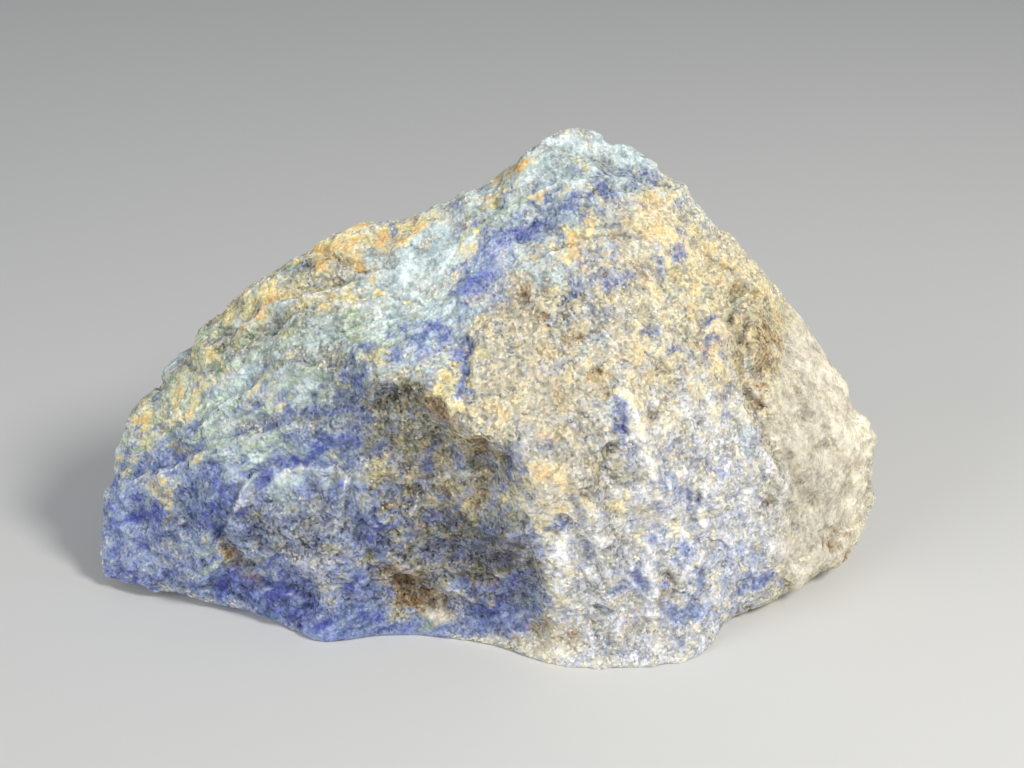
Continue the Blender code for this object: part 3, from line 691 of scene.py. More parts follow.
def relief_tree():
    """Geometry Nodes that break a smooth stone's surface into ledges, chips, flakes and pits."""
    geometry = ("Geometry", "Geometry", None, None)
    sizes = [(name, "Float", default, subtype) for name, (default, subtype) in RELIEF_INPUTS.items()]
    inputs = [geometry, *sizes, ("Material", "Material", None, None)]
    nodes, given, result = new_group("GeometryNodeTree", "Broken stone surface", inputs, [geometry])

    place = nodes.add("GeometryNodeInputPosition").outputs[0]
    normal = nodes.add("GeometryNodeInputNormal").outputs[0]
    point = nodes.vector("ADD", place, nodes.vector("SCALE", SEED_STEP, scale=given["Seed"]))
    warped = nodes.wandered(point, WARP_SIZE, WARP_REACH)
    frayed = nodes.wandered(point, FRAY_SIZE, FRAY_REACH)

    regions = nodes.parts(nodes.noise(point, REGION_SIZE, 2.0)["Color"])
    left_strength = nodes.stretch(regions[0], *LAYERED_REGIONS)
    right_strength = nodes.stretch(regions[1], *LAYERED_REGIONS)
    chip_strength = nodes.stretch(regions[2], *CHIPPED_REGIONS, 0.45, 1.0)
    flake_strength = nodes.stretch(regions[0], *CHIPPED_REGIONS, 1.0, 0.5)

    coarse = (given["Ledge Spacing"], given["Ledge Height"])
    fine = (nodes.times(coarse[0], FINE_SPACING), nodes.times(coarse[1], FINE_HEIGHT))
    left = nodes.plus(
        ledges(nodes, warped, LEFT_LAYERS_ACROSS, *coarse, left_strength),
        ledges(nodes, warped, LEFT_LAYERS_ACROSS, *fine, right_strength),
    )
    right = nodes.plus(
        ledges(nodes, warped, RIGHT_LAYERS_ACROSS, *coarse, right_strength),
        ledges(nodes, warped, RIGHT_LAYERS_ACROSS, *fine, left_strength),
    )
    side = nodes.point_value("right_side")
    layers = nodes.plus(nodes.times(left, nodes.minus(1.0, side)), nodes.times(right, side))

    broken = nodes.times(chips(nodes, frayed, given["Chip Size"], given["Chip Slope"]), chip_strength)
    faces = chips(nodes, frayed, given["Break Size"], given["Break Slope"])
    flaked = nodes.times(chips(nodes, point, given["Flake Size"], given["Flake Slope"]), flake_strength)
    swell = nodes.minus(nodes.noise(point, SWELL_SIZE, 5.0, 0.62)[0], 0.5)
    swell = nodes.times(swell, nodes.times(given["Swell Height"], 3.0))

    holes = nodes.cells(point, given["Pit Size"])
    chosen = nodes.stretch(nodes.parts(holes["Color"])[0], *PITTED_CELLS)
    bowl = nodes.stretch(holes["Distance"], *PIT_BOWL)
    pit = nodes.times(nodes.times(chosen, bowl), nodes.times(given["Pit Depth"], -1.0))

    calm = nodes.point_value("smoothness")
    sharp = nodes.plus(layers, broken, flaked, pit)
    kept = [
        nodes.times(height, nodes.stretch(calm, 0.0, 1.0, 1.0, share))
        for height, share in ((sharp, CALM_SHARP), (faces, CALM_FACES), (swell, CALM_SWELL))
    ]
    height = nodes.plus(*kept, nodes.point_value("front_relief"))
    above_base = nodes.stretch(nodes.parts(place)[2], *BASE_EDGE)
    offset = nodes.vector("SCALE", normal, scale=nodes.times(height, above_base))

    moved = nodes.add("GeometryNodeSetPosition", {"Geometry": given["Geometry"], "Offset": offset})
    real = nodes.add("GeometryNodeRealizeInstances", {0: moved.outputs[0]})
    painted = {"Geometry": real.outputs[0], "Material": given["Material"]}
    nodes.put(result[0], nodes.add("GeometryNodeSetMaterial", painted).outputs[0])
    return nodes.tree


def nodes_modifier(host, tree, values):
    """Puts a Geometry Nodes tree on a host, with its inputs set by their identifiers."""
    modifier = host.modifiers.new(tree.name, "NODES")
    modifier.node_group = tree
    for item in tree.interface.items_tree:
        if item.item_type == "SOCKET" and item.in_out == "INPUT" and item.name in values:
            modifier[item.identifier] = values[item.name]


# Where the minerals lie

# The ridge line that runs down the front, in the picture, and half the width over which it blends.
RIDGE_ROWS = (100, 180, 250, 330, 370, 400, 430, 450, 480, 520, 560, 600, 660, 760)
RIDGE_COLUMNS = (660, 600, 530, 480, 400, 430, 465, 505, 520, 525, 540, 545, 560, 570)
RIDGE_BLEND = 25.0
# How squarely a point faces the camera, from hidden to shown.
FACING_HIDDEN = -0.42
FACING_SHOWN = -0.12
# Size, reach in metres and seed of the noises that fray the patches' edges.
WANDERS = ((0.0050, 0.0012, 1), (0.0018, 0.0010, 2), (0.0008, 0.0007, 3))
# A patch fades from its whole amount near its middle to nothing at this many half widths.
PATCH_WHOLE = 0.1
PATCH_GONE = 2.1
# How deep a patch reaches behind its middle: so many metres, and so many times its half width.
PATCH_DEPTH = 0.004
PATCH_DEPTH_SHARE = 1.6
# The stretch of X, in metres, over which the pale calcite end begins.
PALE_END = (0.026, 0.036)
# Half the width of a ledge's edge in millimetres, the share of its height by which its foot is
# undercut, and the share of its fading length over which the undercut fades.
LEDGE_EDGE = 0.28
UNDERCUT = 0.16
UNDERCUT_FADE = 0.6
# How far the worn rims of the ledges are whitened, and the middle and half width of a rim in mm.
RIM_BLOOM = 0.85
RIM_MIDDLE = 0.15
RIM_HALF_WIDTH = 0.32


class Surface:
    """The stone's points with what is needed to place minerals on them."""

    def __init__(self, mesh):
        self.points = points_of(mesh)
        self.edges = numbers_of(mesh.edges, "vertices", 2, np.int32)
        normals = smoothed(normals_of(mesh), self.edges, 10)
        normals /= np.maximum(np.linalg.norm(normals, axis=1), 1e-9)[:, None]
        self.camera, self.right, self.up, self.forward = (np.array(v) for v in camera_axes())
        toward = self.camera - self.points
        toward /= np.linalg.norm(toward, axis=1)[:, None]
        self.shown = smooth_step(FACING_HIDDEN, FACING_SHOWN, np.sum(normals * toward, axis=1))
        self.wandered = self.points + sum(drift(self.points, *wander) for wander in WANDERS)

    def right_of_ridge(self):
        """1 on the right of the ridge line that runs down the front, 0 on its left."""
        columns, rows = seen_at(self.points)
        beside = columns - np.interp(rows, RIDGE_ROWS, RIDGE_COLUMNS)
        return smooth_step(-RIDGE_BLEND, RIDGE_BLEND, beside)

    def middle_of(self, host, column, row):
        """The stone's point under a place in the picture, or the shown point nearest to it."""
        found, where, _, _ = host.ray_cast(camera_axes()[0], sight_line(column, row))
        if found:
            return np.array(where)
        columns, rows = seen_at(self.points)
        miss = (columns - column) ** 2 + (rows - row) ** 2 + 1e6 * (self.shown < 0.5)
        return self.points[int(np.argmin(miss))]

    def spread(self, host, patches):
        """How much of a mineral its patches give each point, from 0 to 1."""
        left_out = np.ones(len(self.points))
        for column, row, half_width, half_height, turn, percent in patches:
            middle = self.middle_of(host, column, row)
            size = (middle - self.camera) @ self.forward / FOCAL_DOTS
            away = self.wandered - middle
            across, rise, beyond = away @ self.right, away @ self.up, away @ self.forward
            angle = math.radians(turn)
            along = across * math.cos(angle) - rise * math.sin(angle)
            over = across * math.sin(angle) + rise * math.cos(angle)
            reach = PATCH_DEPTH + PATCH_DEPTH_SHARE * size * max(half_width, half_height)
            far = (along / (half_width * size)) ** 2 + (over / (half_height * size)) ** 2
            far = np.sqrt(far + (beyond / reach) ** 2)
            left_out *= 1.0 - percent / 100 * smooth_step(PATCH_GONE, PATCH_WHOLE, far)
        return (1.0 - left_out) * self.shown

    def calm_end(self, host):
        """Where clear calcite breaks more smoothly than the grainy stone around it."""
        end = smooth_step(*PALE_END, self.points[:, 0]) * (1.0 - self.shown)
        return smooth_step(0.35, 0.9, self.spread(host, CALM_PLACES) + end)

    def marked_at(self):
        """The place in the picture that each point takes its ribs and ledges from."""
        return seen_at(self.points * 0.6 + self.wandered * 0.4)

    def standing_proud(self, normals, rounds, reach):
        """How far each point stands out of its smoothed surroundings: 0.5 where it is level."""
        level = smoothed(self.points, self.edges, rounds)
        proud = np.sum((self.points - level) * normals, axis=1)
        return np.clip(proud / reach, -1.0, 1.0) * 0.5 + 0.5


def beside_run(columns, rows, run):
    """How far each point lies from a run of points in the picture: on its right hand more than 0."""
    nearest = np.full(len(columns), 1e9)
    beside = np.zeros(len(columns))
    for (x0, y0), (x1, y1) in zip(run, run[1:]):
        length = math.hypot(x1 - x0, y1 - y0)
        ahead = ((x1 - x0) / length, (y1 - y0) / length)
        along = np.clip((columns - x0) * ahead[0] + (rows - y0) * ahead[1], 0.0, length)
        across = (columns - x0) * -ahead[1] + (rows - y0) * ahead[0]
        distance = np.hypot(columns - x0 - ahead[0] * along, rows - y0 - ahead[1] * along)
        closer = distance < nearest
        nearest = np.where(closer, distance, nearest)
        beside = np.where(closer, np.sign(across) * distance, beside)
    return beside


def front_heights(surface):
    """The ribs, ledges and pits that the front shows, in metres of height."""
    columns, rows = surface.marked_at()
    height = np.zeros(len(columns))
    for half_width, rise, run in RIBS:
        far = np.abs(beside_run(columns, rows, run)) * DOT_SIZE
        height += rise * smooth_step(half_width * 1.5, 0.0, far)
    for fade, rise, run in STEPS:
        beside = beside_run(columns, rows, run) * DOT_SIZE
        high = smooth_step(LEDGE_EDGE, -LEDGE_EDGE, beside)
        height += rise * high * np.exp(np.minimum(beside, 0.0) / fade)
        undercut = np.exp(-np.maximum(beside, 0.0) / (UNDERCUT_FADE * fade))
        height -= UNDERCUT * rise * (1.0 - high) * undercut
    for column, row, half_width, depth in PITS:
        far = np.hypot(columns - column, rows - row) / half_width
        height -= depth * smooth_step(1.25, 0.35, far)
    return height * MM * surface.shown


def ledge_rims(surface):
    """1 on the worn edge of each ledge of the front, fading to 0 beside it."""
    columns, rows = surface.marked_at()
    rim = np.zeros(len(columns))
    for _, rise, run in STEPS:
        beside = beside_run(columns, rows, run) * DOT_SIZE
        fading = np.exp(-((beside + RIM_MIDDLE) / RIM_HALF_WIDTH) ** 2)
        rim = np.maximum(rim, min(1.0, 1.5 * rise) * fading)
    return rim * surface.shown


def place_minerals(mesh, host):
    """Spreads every mineral's amount over the finished surface."""
    surface = Surface(mesh)
    points = surface.points
    hidden = 1.0 - surface.shown
    # Six soft noises, by size in metres and seed, spread the minerals where the camera doesn't see.
    base = [cloud(points, size, seed) for size, seed in
            ((0.020, 1), (0.012, 2), (0.016, 3), (0.010, 4), (0.024, 5), (0.007, 6))]
    pale_end = smooth_step(*PALE_END, points[:, 0] + 0.004 * (base[1] - 0.5))
    blue_part = 1.0 - pale_end
    on_hidden_sides = {
        "lazurite": (0.22 + 0.62 * base[0]) * (1.0 - 0.85 * pale_end),
        "deep_blue": 0.55 * base[0] * base[3] * blue_part,
        "pale_crust": 0.62 * base[1] * base[2] * blue_part,
        "green_crust": 0.55 * base[2] * base[3] * blue_part,
        "bloom": 0.60 * base[4] * base[5] * blue_part,
        "cream": 0.50 * base[5] * base[1],
        "ochre": 0.72 * base[2] * base[5],
        "rust": 0.60 * smooth_step(0.62, 0.95, base[3]),
        "calcite": np.maximum(pale_end, 0.70 * base[4] * (1.0 - base[0])),
        "dark_grains": 0.18 + 0.45 * base[3],
    }
    for name, amount in on_hidden_sides.items():
        in_view = surface.spread(host, PATCHES[name])
        if name == "bloom":
            in_view = np.maximum(in_view, RIM_BLOOM * ledge_rims(surface))
        store(mesh, name, in_view + hidden * amount)
    store(mesh, "right_side", surface.right_of_ridge())
    # Paler and darker places: partly the stone's own, partly painted light and painted shade.
    store(mesh, "tone", 0.5 + 0.5 * (surface.spread(host, PALER) - surface.spread(host, DARKER)))
    # How far each point stands out or lies sunk: the material makes standing edges paler as wear and
    # recesses darker as painted shade.
    normals = normals_of(mesh)
    store(mesh, "edge_wear", surface.standing_proud(normals, 8, 0.00016))
    store(mesh, "standing_out", surface.standing_proud(normals, 40, 0.0006))


# The stone's material

def srgb(red, green, blue):
    """A colour written as 0 to 255 levels, as linear light with full alpha."""
    levels = [v / 255.0 for v in (red, green, blue)]
    linear = [v / 12.92 if v <= 0.04045 else ((v + 0.055) / 1.055) ** 2.4 for v in levels]
    return (*linear, 1.0)


# What each mineral looks like, and how it mixes with the others:
#   name      the attribute with its amount
#   gain      what its amount is multiplied by
#   edge      how much more of it lies on worn edges
#   picks     which of the layered noises, of the blotches and of the grains' values shake it
#   weights   how strongly the layers, the blotches, the coarse and the fine grains shake it
#   strength  how strongly all of them together do
#   pale, deep, low, high   its colour at a low and at a high score, and those scores
#   grain     how strongly its grains differ in lightness
#   blotch    how strongly its blotches do
Mineral = namedtuple(
    "Mineral", "name gain edge picks weights strength pale deep low high grain blotch"
)
MINERALS = (
    Mineral("lazurite", 1.0, -0.10, (0, 0, 0), (0.42, 0.42, 0.10, 0.06), 1.50,
            "lazurite_pale", "rich_blue", 0.45, 1.35, 1.0, 1.0),
    Mineral("deep_blue", 1.0, -0.10, (0, 1, 1), (0.42, 0.42, 0.10, 0.06), 1.30,
            "lazurite", "deep_blue", 0.40, 1.10, 1.1, 1.0),
    Mineral("pale_crust", 0.95, 0.12, (1, 1, 1), (0.44, 0.42, 0.09, 0.05), 1.50,
            "crust", "crust_light", 0.40, 1.05, 0.60, 0.9),
    Mineral("green_crust", 0.95, 0.10, (2, 0, 1), (0.44, 0.42, 0.09, 0.05), 1.50,
            "green_crust", "green_crust_light", 0.40, 1.05, 0.8, 1.0),
    Mineral("bloom", 0.90, 0.10, (2, 0, 1), (0.36, 0.42, 0.13, 0.09), 1.30,
            "bloom_grey", "bloom", 0.35, 0.95, 1.0, 1.1),
    Mineral("cream", 0.92, 0.06, (0, 2, 2), (0.34, 0.46, 0.12, 0.08), 1.30,
            "cream", "peach", 0.55, 1.25, 0.80, 0.9),
    Mineral("ochre", 0.88, 0.06, (2, 2, 2), (0.40, 0.46, 0.09, 0.05), 1.50,
            "ochre_pale", "ochre", 0.62, 1.25, 0.70, 1.0),
    Mineral("rust", 1.1, -0.10, (0, 2, 1), (0.24, 0.44, 0.19, 0.13), 1.30,
            "rust_pale", "rust", 0.60, 1.40, 1.2, 1.0),
    Mineral("calcite", 1.0, 0.05, (1, 0, 2), (0.40, 0.52, 0.05, 0.03), 1.00,
            "calcite_grey", "calcite", 0.40, 1.05, 0.30, 1.8),
    Mineral("dark_grains", 0.95, -0.12, (2, 1, 0), (0.22, 0.38, 0.23, 0.17), 1.40,
            "olive_grains", "dark_grains", 0.50, 1.15, 1.3, 1.0),
)
GROUND = Mineral("ground", 1.0, 0.0, (0, 1, 2), (0.34, 0.44, 0.13, 0.09), 1.2,
                 "ground", "ground_grey", 0.1, 0.9, 0.85, 1.0)
# How much of the ground the blue minerals take away.
DEEP_BLUE_TAKES = 0.34
LAZURITE_TAKES = 0.16
SHARPNESS = 3.2
# Coarse grains are this many times as wide as the fine ones.
COARSE_GRAIN = 2.6
# Sizes of the noises in millimetres, with the roughness of the blotches left and right of the ridge.
STREAK_SIZE = 1.5
BLOTCHES = ((2.2, 0.60), (1.7, 0.66))
WIDE_SIZE = 7.5
CRUMB_SIZE = 0.9
# The turns about Y, in degrees, of the streaks and of the finest bumps, and how much longer they
# are along each of their axes.
LEFT_TURN = -34.0
RIGHT_TURN = 66.0
LAYER_LENGTHS = (2.6, 1.2, 0.85)
BUMP_TURN = -28.0
BUMP_LENGTHS = (1.7, 1.0, 0.8)
# How strongly each thing makes a point lighter or darker.
FINE_GRAIN_LIGHT = 0.86
COARSE_GRAIN_LIGHT = 0.30
WIDE_LIGHT = 0.40
BLOTCH_LIGHT = 0.55
STREAK_LIGHT = 0.45
# Wear pales the standing edges, and painted shade darkens the recesses.
WEAR_AND_SHADE_LIGHT = 0.26
# The paler and darker places: partly the stone's own tone, partly painted light and painted shade.
TONE_AND_PAINTED_LIGHT = 0.80
# How high the crystal faces and the crumbs between them stand, against each other.
FINE_FACET = 0.62
COARSE_FACET = 0.60
CRUMB = 0.36
# The amounts between which calcite becomes smooth, and what it then keeps of wear with painted shade and
# of bumps.
CALCITE_EDGE = (0.4, 0.9)
CALCITE_WEAR_AND_SHADE = 0.45
CALCITE_BUMPS = 0.30


def grain_group():
    """Single crystals: three random numbers for each grain, and how its face is tilted."""
    nodes, given, result = new_group(
        "ShaderNodeTree", "Crystal grains",
        [("Vector", "Vector", None, None), ("Grain Size", "Float", 0.4, None)],
        [("Grain Values", "Color", None, None), ("Facet Height", "Float", None, None)],
    )
    values, height = nodes.tilted_cells(given["Vector"], given["Grain Size"])
    nodes.put(result["Grain Values"], values)
    nodes.put(result["Facet Height"], height)


def share_group():
    """How strongly a mineral claims a point: its amount, shaken by noise, made sharper by a power."""
    nodes, given, result = new_group(
        "ShaderNodeTree", "Mineral share",
        [("Amount", "Float", 0.5, None), ("Noise", "Float", 0.5, None),
         ("Noise Strength", "Float", 0.8, None), ("Sharpness", "Float", SHARPNESS, None)],
        [("Score", "Float", None, None), ("Share", "Float", None, None)],
    )
    shake = nodes.times(nodes.minus(given["Noise"], 0.5), given["Noise Strength"])
    # A mineral with no amount anywhere near stays away altogether.
    room = nodes.stretch(given["Amount"], 0.02, 0.14)
    score = nodes.times(nodes.maths("MAXIMUM", nodes.plus(given["Amount"], shake), 0.0), room)
    nodes.put(result["Score"], score)
    nodes.put(result["Share"], nodes.maths("POWER", score, given["Sharpness"]))


def lapis_material(look):
    """Rough lapis lazuli: each point mixes the colours of the minerals that claim it."""
    material = bpy.data.materials.new("Rough lapis lazuli")
    material.use_nodes = True
    tree = material.node_tree
    tree.nodes.clear()
    nodes = Nodes(tree)
    shader = nodes.add("ShaderNodeBsdfPrincipled", {"Specular IOR Level": 0.42})
    nodes.add("ShaderNodeOutputMaterial", {"Surface": shader.outputs[0]})
    coordinates = nodes.add("ShaderNodeTexCoord").outputs["Object"]
    millimetres = nodes.vector("SCALE", coordinates, scale=1000.0)

    # Streaks that lie along the stone's layers on each side of the ridge, blotches, and grains.
    right_side = nodes.attribute("right_side")
    streaks = [
        nodes.noise(nodes.turned(millimetres, turn, LAYER_LENGTHS), STREAK_SIZE, 3.0, 0.58)["Color"]
        for turn in (LEFT_TURN, RIGHT_TURN)
    ]
    layered = nodes.parts(nodes.mix(right_side, *streaks))
    blotches = [
        nodes.noise(millimetres, size, 4.0, roughness)["Color"]
        for size, roughness in BLOTCHES
    ]
    blotched = nodes.parts(nodes.mix(right_side, *blotches))
    wide = nodes.parts(nodes.noise(millimetres, WIDE_SIZE, 3.0, 0.60)["Color"])
    fine, coarse = (
        nodes.group("Crystal grains", {"Vector": millimetres, "Grain Size": size})
        for size in (look.grain_size * 1000.0, look.grain_size * 1000.0 * COARSE_GRAIN)
    )
    fine_values = nodes.parts(fine["Grain Values"])
    coarse_values = nodes.parts(coarse["Grain Values"])

    def two_colours(value, low, high, pale, deep):
        return nodes.mix(nodes.stretch(value, low, high), pale, deep)

    def claim(mineral, amount):
        """A mineral's score and its share of each point, by its amount and the noises."""
        layer, blotch, grain = mineral.picks
        sources = (
            nodes.stretch(layered[layer], 0.30, 0.70), nodes.stretch(blotched[blotch], 0.30, 0.70),
            coarse_values[grain], fine_values[grain],
        )
        shaking = nodes.plus(*[nodes.times(*pair) for pair in zip(sources, mineral.weights)])
        inputs = {"Amount": amount, "Noise": shaking, "Noise Strength": mineral.strength}
        return nodes.group("Mineral share", inputs)

    def shades(*sources):
        """Lighter and darker parts: each value's distance from 0.5, times its strength."""
        return nodes.plus(*[nodes.times(nodes.minus(value, 0.5), strength) for value, strength in sources])

    edge_wear = nodes.attribute("edge_wear")
    rich_blue = two_colours(blotched[1], 0.40, 0.60, look.lazurite, look.lazurite_teal)
    taken = nodes.plus(nodes.times(nodes.attribute("deep_blue"), DEEP_BLUE_TAKES),
                       nodes.times(nodes.attribute("lazurite"), LAZURITE_TAKES))
    share = claim(GROUND, nodes.minus(look.ground_amount, taken))["Share"]
    colour = two_colours(fine_values[1], GROUND.low, GROUND.high, look.ground, look.ground_grey)
    shares = [share]
    colours = [nodes.vector("SCALE", colour, scale=share)]
    for mineral in MINERALS:
        worn = nodes.times(nodes.minus(edge_wear, 0.5), mineral.edge)
        amount = nodes.plus(nodes.times(nodes.attribute(mineral.name), mineral.gain), worn)
        result = claim(mineral, amount)
        deep = rich_blue if mineral.deep == "rich_blue" else getattr(look, mineral.deep)
        pale = getattr(look, mineral.pale)
        colour = two_colours(result["Score"], mineral.low, mineral.high, pale, deep)
        shares.append(result["Share"])
        colours.append(nodes.vector("SCALE", colour, scale=result["Share"]))
    total_share = nodes.plus(*shares)
    colour = colours[0]
    for more in colours[1:]:
        colour = nodes.vector("ADD", colour, more)
    colour = nodes.vector("SCALE", colour, scale=nodes.over(1.0, total_share))
    mixed = (GROUND, *MINERALS)
    graininess, blotchiness = (
        nodes.over(nodes.plus(*[nodes.times(*pair) for pair in zip(shares, amounts)]), total_share)
        for amounts in ([m.grain for m in mixed], [m.blotch for m in mixed])
    )

    # Every grain is a little lighter or darker, recesses are darkened as painted shade, edges are worn
    # pale, and the paler and darker places add painted light and painted shade.
    calcite = nodes.attribute("calcite")
    grain_light = nodes.times(
        shades((fine_values[2], FINE_GRAIN_LIGHT), (coarse_values[0], COARSE_GRAIN_LIGHT)), graininess)
    blotch_light = nodes.times(blotchiness, shades(
        (wide[0], WIDE_LIGHT), (blotched[2], BLOTCH_LIGHT), (layered[2], STREAK_LIGHT)))
    wear_and_painted_shade = nodes.times(
        shades((nodes.attribute("standing_out"), WEAR_AND_SHADE_LIGHT), (edge_wear, WEAR_AND_SHADE_LIGHT)),
        nodes.stretch(calcite, *CALCITE_EDGE, 1.0, CALCITE_WEAR_AND_SHADE))
    # Painted light and painted shade of the paler and darker places, with the stone's own tone.
    tone_and_painted_light = shades((nodes.attribute("tone"), TONE_AND_PAINTED_LIGHT))
    light = nodes.plus(grain_light, blotch_light, wear_and_painted_shade, tone_and_painted_light, 1.0)
    nodes.put(shader.inputs["Base Color"], nodes.vector("SCALE", colour, scale=light))

    # Fresh crystal faces shine a little among dull ones.
    glint = nodes.stretch(fine_values[0], 0.86, 0.98)
    dullness = nodes.plus(0.62, nodes.times(coarse_values[1], 0.26))
    nodes.put(shader.inputs["Roughness"], nodes.minus(dullness, nodes.times(glint, 0.36)))

    crumbs = nodes.noise(nodes.turned(millimetres, BUMP_TURN, BUMP_LENGTHS), CRUMB_SIZE, 3.0, 0.62)[0]
    height = nodes.plus(
        nodes.times(fine["Facet Height"], FINE_FACET), nodes.times(coarse["Facet Height"], COARSE_FACET),
        nodes.times(crumbs, CRUMB))
    height = nodes.times(height, nodes.stretch(calcite, *CALCITE_EDGE, 1.0, CALCITE_BUMPS))
    bump = nodes.add("ShaderNodeBump", {"Strength": 1.0, "Distance": look.bump_depth, "Height": height})
    nodes.put(shader.inputs["Normal"], bump.outputs[0])
    return material


# The stone

def smooth_blank(grain):
    """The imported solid's surface, remade in even small faces and rid of its flat facets."""
    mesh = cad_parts[STONE_NODE].data.copy()
    shape = bmesh.new()
    shape.from_mesh(mesh)
    bmesh.ops.remove_doubles(shape, verts=shape.verts, dist=1e-6)
    shape.to_mesh(mesh)
    shape.free()
    mesh.materials.clear()
    host = bpy.data.objects.new("stone blank", mesh)
    bpy.context.scene.collection.objects.link(host)
    remesh = host.modifiers.new("Even faces", "REMESH")
    remesh.mode = "VOXEL"
    remesh.voxel_size = grain
    remesh.adaptivity = 0.0
    ease = host.modifiers.new("No facets", "SMOOTH")
    ease.factor = 0.5
    ease.iterations = 5
    smooth = plain_copy(host, "smooth stone")
    host.modifiers.clear()
    host.data = smooth
    bpy.data.meshes.remove(mesh)
    for mesh_point in smooth.vertices:
        mesh_point.co.z = max(mesh_point.co.z, 0.0)
    return host


def build_stone(look):
    host = smooth_blank(look.blank_grain)
    surface = Surface(host.data)
    store(host.data, "right_side", surface.right_of_ridge())
    store(host.data, "front_relief", front_heights(surface))
    store(host.data, "smoothness", surface.calm_end(host))
    material = lapis_material(look)
    values = {name: getattr(look, name.lower().replace(" ", "_")) for name in RELIEF_INPUTS}
    values["Material"] = material
    nodes_modifier(host, relief_tree(), values)
    broken = plain_copy(host, "broken stone")
    host.modifiers.clear()
    host.data = broken
    thin = host.modifiers.new("Fewer faces", "DECIMATE")
    triangles = sum(len(face.vertices) - 2 for face in broken.polygons)
    thin.ratio = min(1.0, look.triangles / triangles)
    thin.use_collapse_triangulate = True
    stone_mesh = plain_copy(host, "rough_stone")
    host.modifiers.clear()
    for name in ("front_relief", "smoothness"):
        if stone_mesh.attributes.get(name):
            stone_mesh.attributes.remove(stone_mesh.attributes[name])
    for face in stone_mesh.polygons:
        face.use_smooth = False
    stone = bpy.data.objects.new("rough_stone", stone_mesh)
    bpy.context.scene.collection.objects.link(stone)
    place_minerals(stone_mesh, host)
    if not stone_mesh.materials:
        stone_mesh.materials.append(material)
    bpy.data.objects.remove(host)
    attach(stone, "root")
    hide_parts(STONE_NODE)
    print("stone triangles", len(stone_mesh.polygons))


# The studio

# Name, place and width in metres, the setting that holds the power, and the colour of each lamp.
LAMPS = (
    ("Key light", (0.21, -0.18, 0.29), 0.10, "key_power", (1.0, 0.975, 0.93)),
    ("Left fill", (-0.38, -0.30, 0.22), 0.35, "fill_power", (0.93, 0.96, 1.0)),
)
AIR_COLOUR = (0.92, 0.95, 1.0, 1.0)
MOTTLE_SIZE = 1.0 / 18.0
MOTTLE_SHADE = 0.975


def studio_material(colour):
    material = bpy.data.materials.new("Pale studio floor")
    material.use_nodes = True
    nodes = Nodes(material.node_tree)
    shader = material.node_tree.nodes["Principled BSDF"]
    coordinates = nodes.add("ShaderNodeTexCoord").outputs["Object"]
    mottle = nodes.noise(coordinates, MOTTLE_SIZE, 4.0, 0.6)[0]
    shaded = (*[v * MOTTLE_SHADE for v in colour], 1.0)
    nodes.put(shader.inputs["Base Color"], nodes.mix(mottle, shaded, (*colour, 1.0)))
    shader.inputs["Roughness"].default_value = 0.85
    shader.inputs["Specular IOR Level"].default_value = 0.2
    return material


def soft_light(name, place, size, power, colour):
    data = bpy.data.lights.new(name, "AREA")
    data.shape = "DISK"
    data.size = size
    data.energy = power
    data.color = colour
    lamp = bpy.data.objects.new(name, data)
    bpy.context.scene.collection.objects.link(lamp)
    lamp.location = place
    aim = Vector(CAMERA_TARGET) * MM - Vector(place)
    lamp.rotation_euler = aim.to_track_quat("-Z", "Y").to_euler()


def build_stage(look):
    floor_mesh = bpy.data.meshes.new("studio_floor")
    half = look.floor_size / 2
    corners = [(-half, -half, 0.0), (half, -half, 0.0), (half, half, 0.0), (-half, half, 0.0)]
    floor_mesh.from_pydata(corners, [], [(0, 1, 2, 3)])
    floor = bpy.data.objects.new("studio_floor", floor_mesh)
    bpy.context.scene.collection.objects.link(floor)
    floor_mesh.materials.append(studio_material(look.floor_colour[:3]))

    for name, place, width, setting, colour in LAMPS:
        soft_light(name, place, width, getattr(look, setting), colour)
    world = bpy.data.worlds.new("Studio air")
    world.use_nodes = True
    backdrop = world.node_tree.nodes["Background"]
    backdrop.inputs["Color"].default_value = AIR_COLOUR
    backdrop.inputs["Strength"].default_value = look.air_strength
    bpy.context.scene.world = world

    place, _, _, forward = camera_axes()
    data = bpy.data.cameras.new("Studio camera")
    data.lens = LENS
    data.sensor_width = SENSOR_WIDTH
    data.clip_start = 0.01
    data.clip_end = 10.0
    data.dof.use_dof = False
    camera = bpy.data.objects.new("Studio camera", data)
    bpy.context.scene.collection.objects.link(camera)
    camera.location = place
    camera.rotation_euler = forward.to_track_quat("-Z", "Y").to_euler()
    bpy.context.scene.camera = camera
    bpy.context.scene.view_settings.view_transform = "Standard"


# Settings, operators and panel

def length_property(name, description, default, **limits):
    return bpy.props.FloatProperty(
        name=name, description=description, default=default, unit="LENGTH", **limits
    )


def relief_property(name, description):
    """A setting that the relief's input of the same name takes."""
    default, subtype = RELIEF_INPUTS[name]
    unit = "LENGTH" if subtype == "DISTANCE" else "NONE"
    return bpy.props.FloatProperty(name=name, description=description, default=default, unit=unit)


def colour_property(name, description, levels):
    return bpy.props.FloatVectorProperty(
        name=name, description=description, subtype="COLOR", size=4, min=0.0, max=1.0,
        default=srgb(*levels),
    )


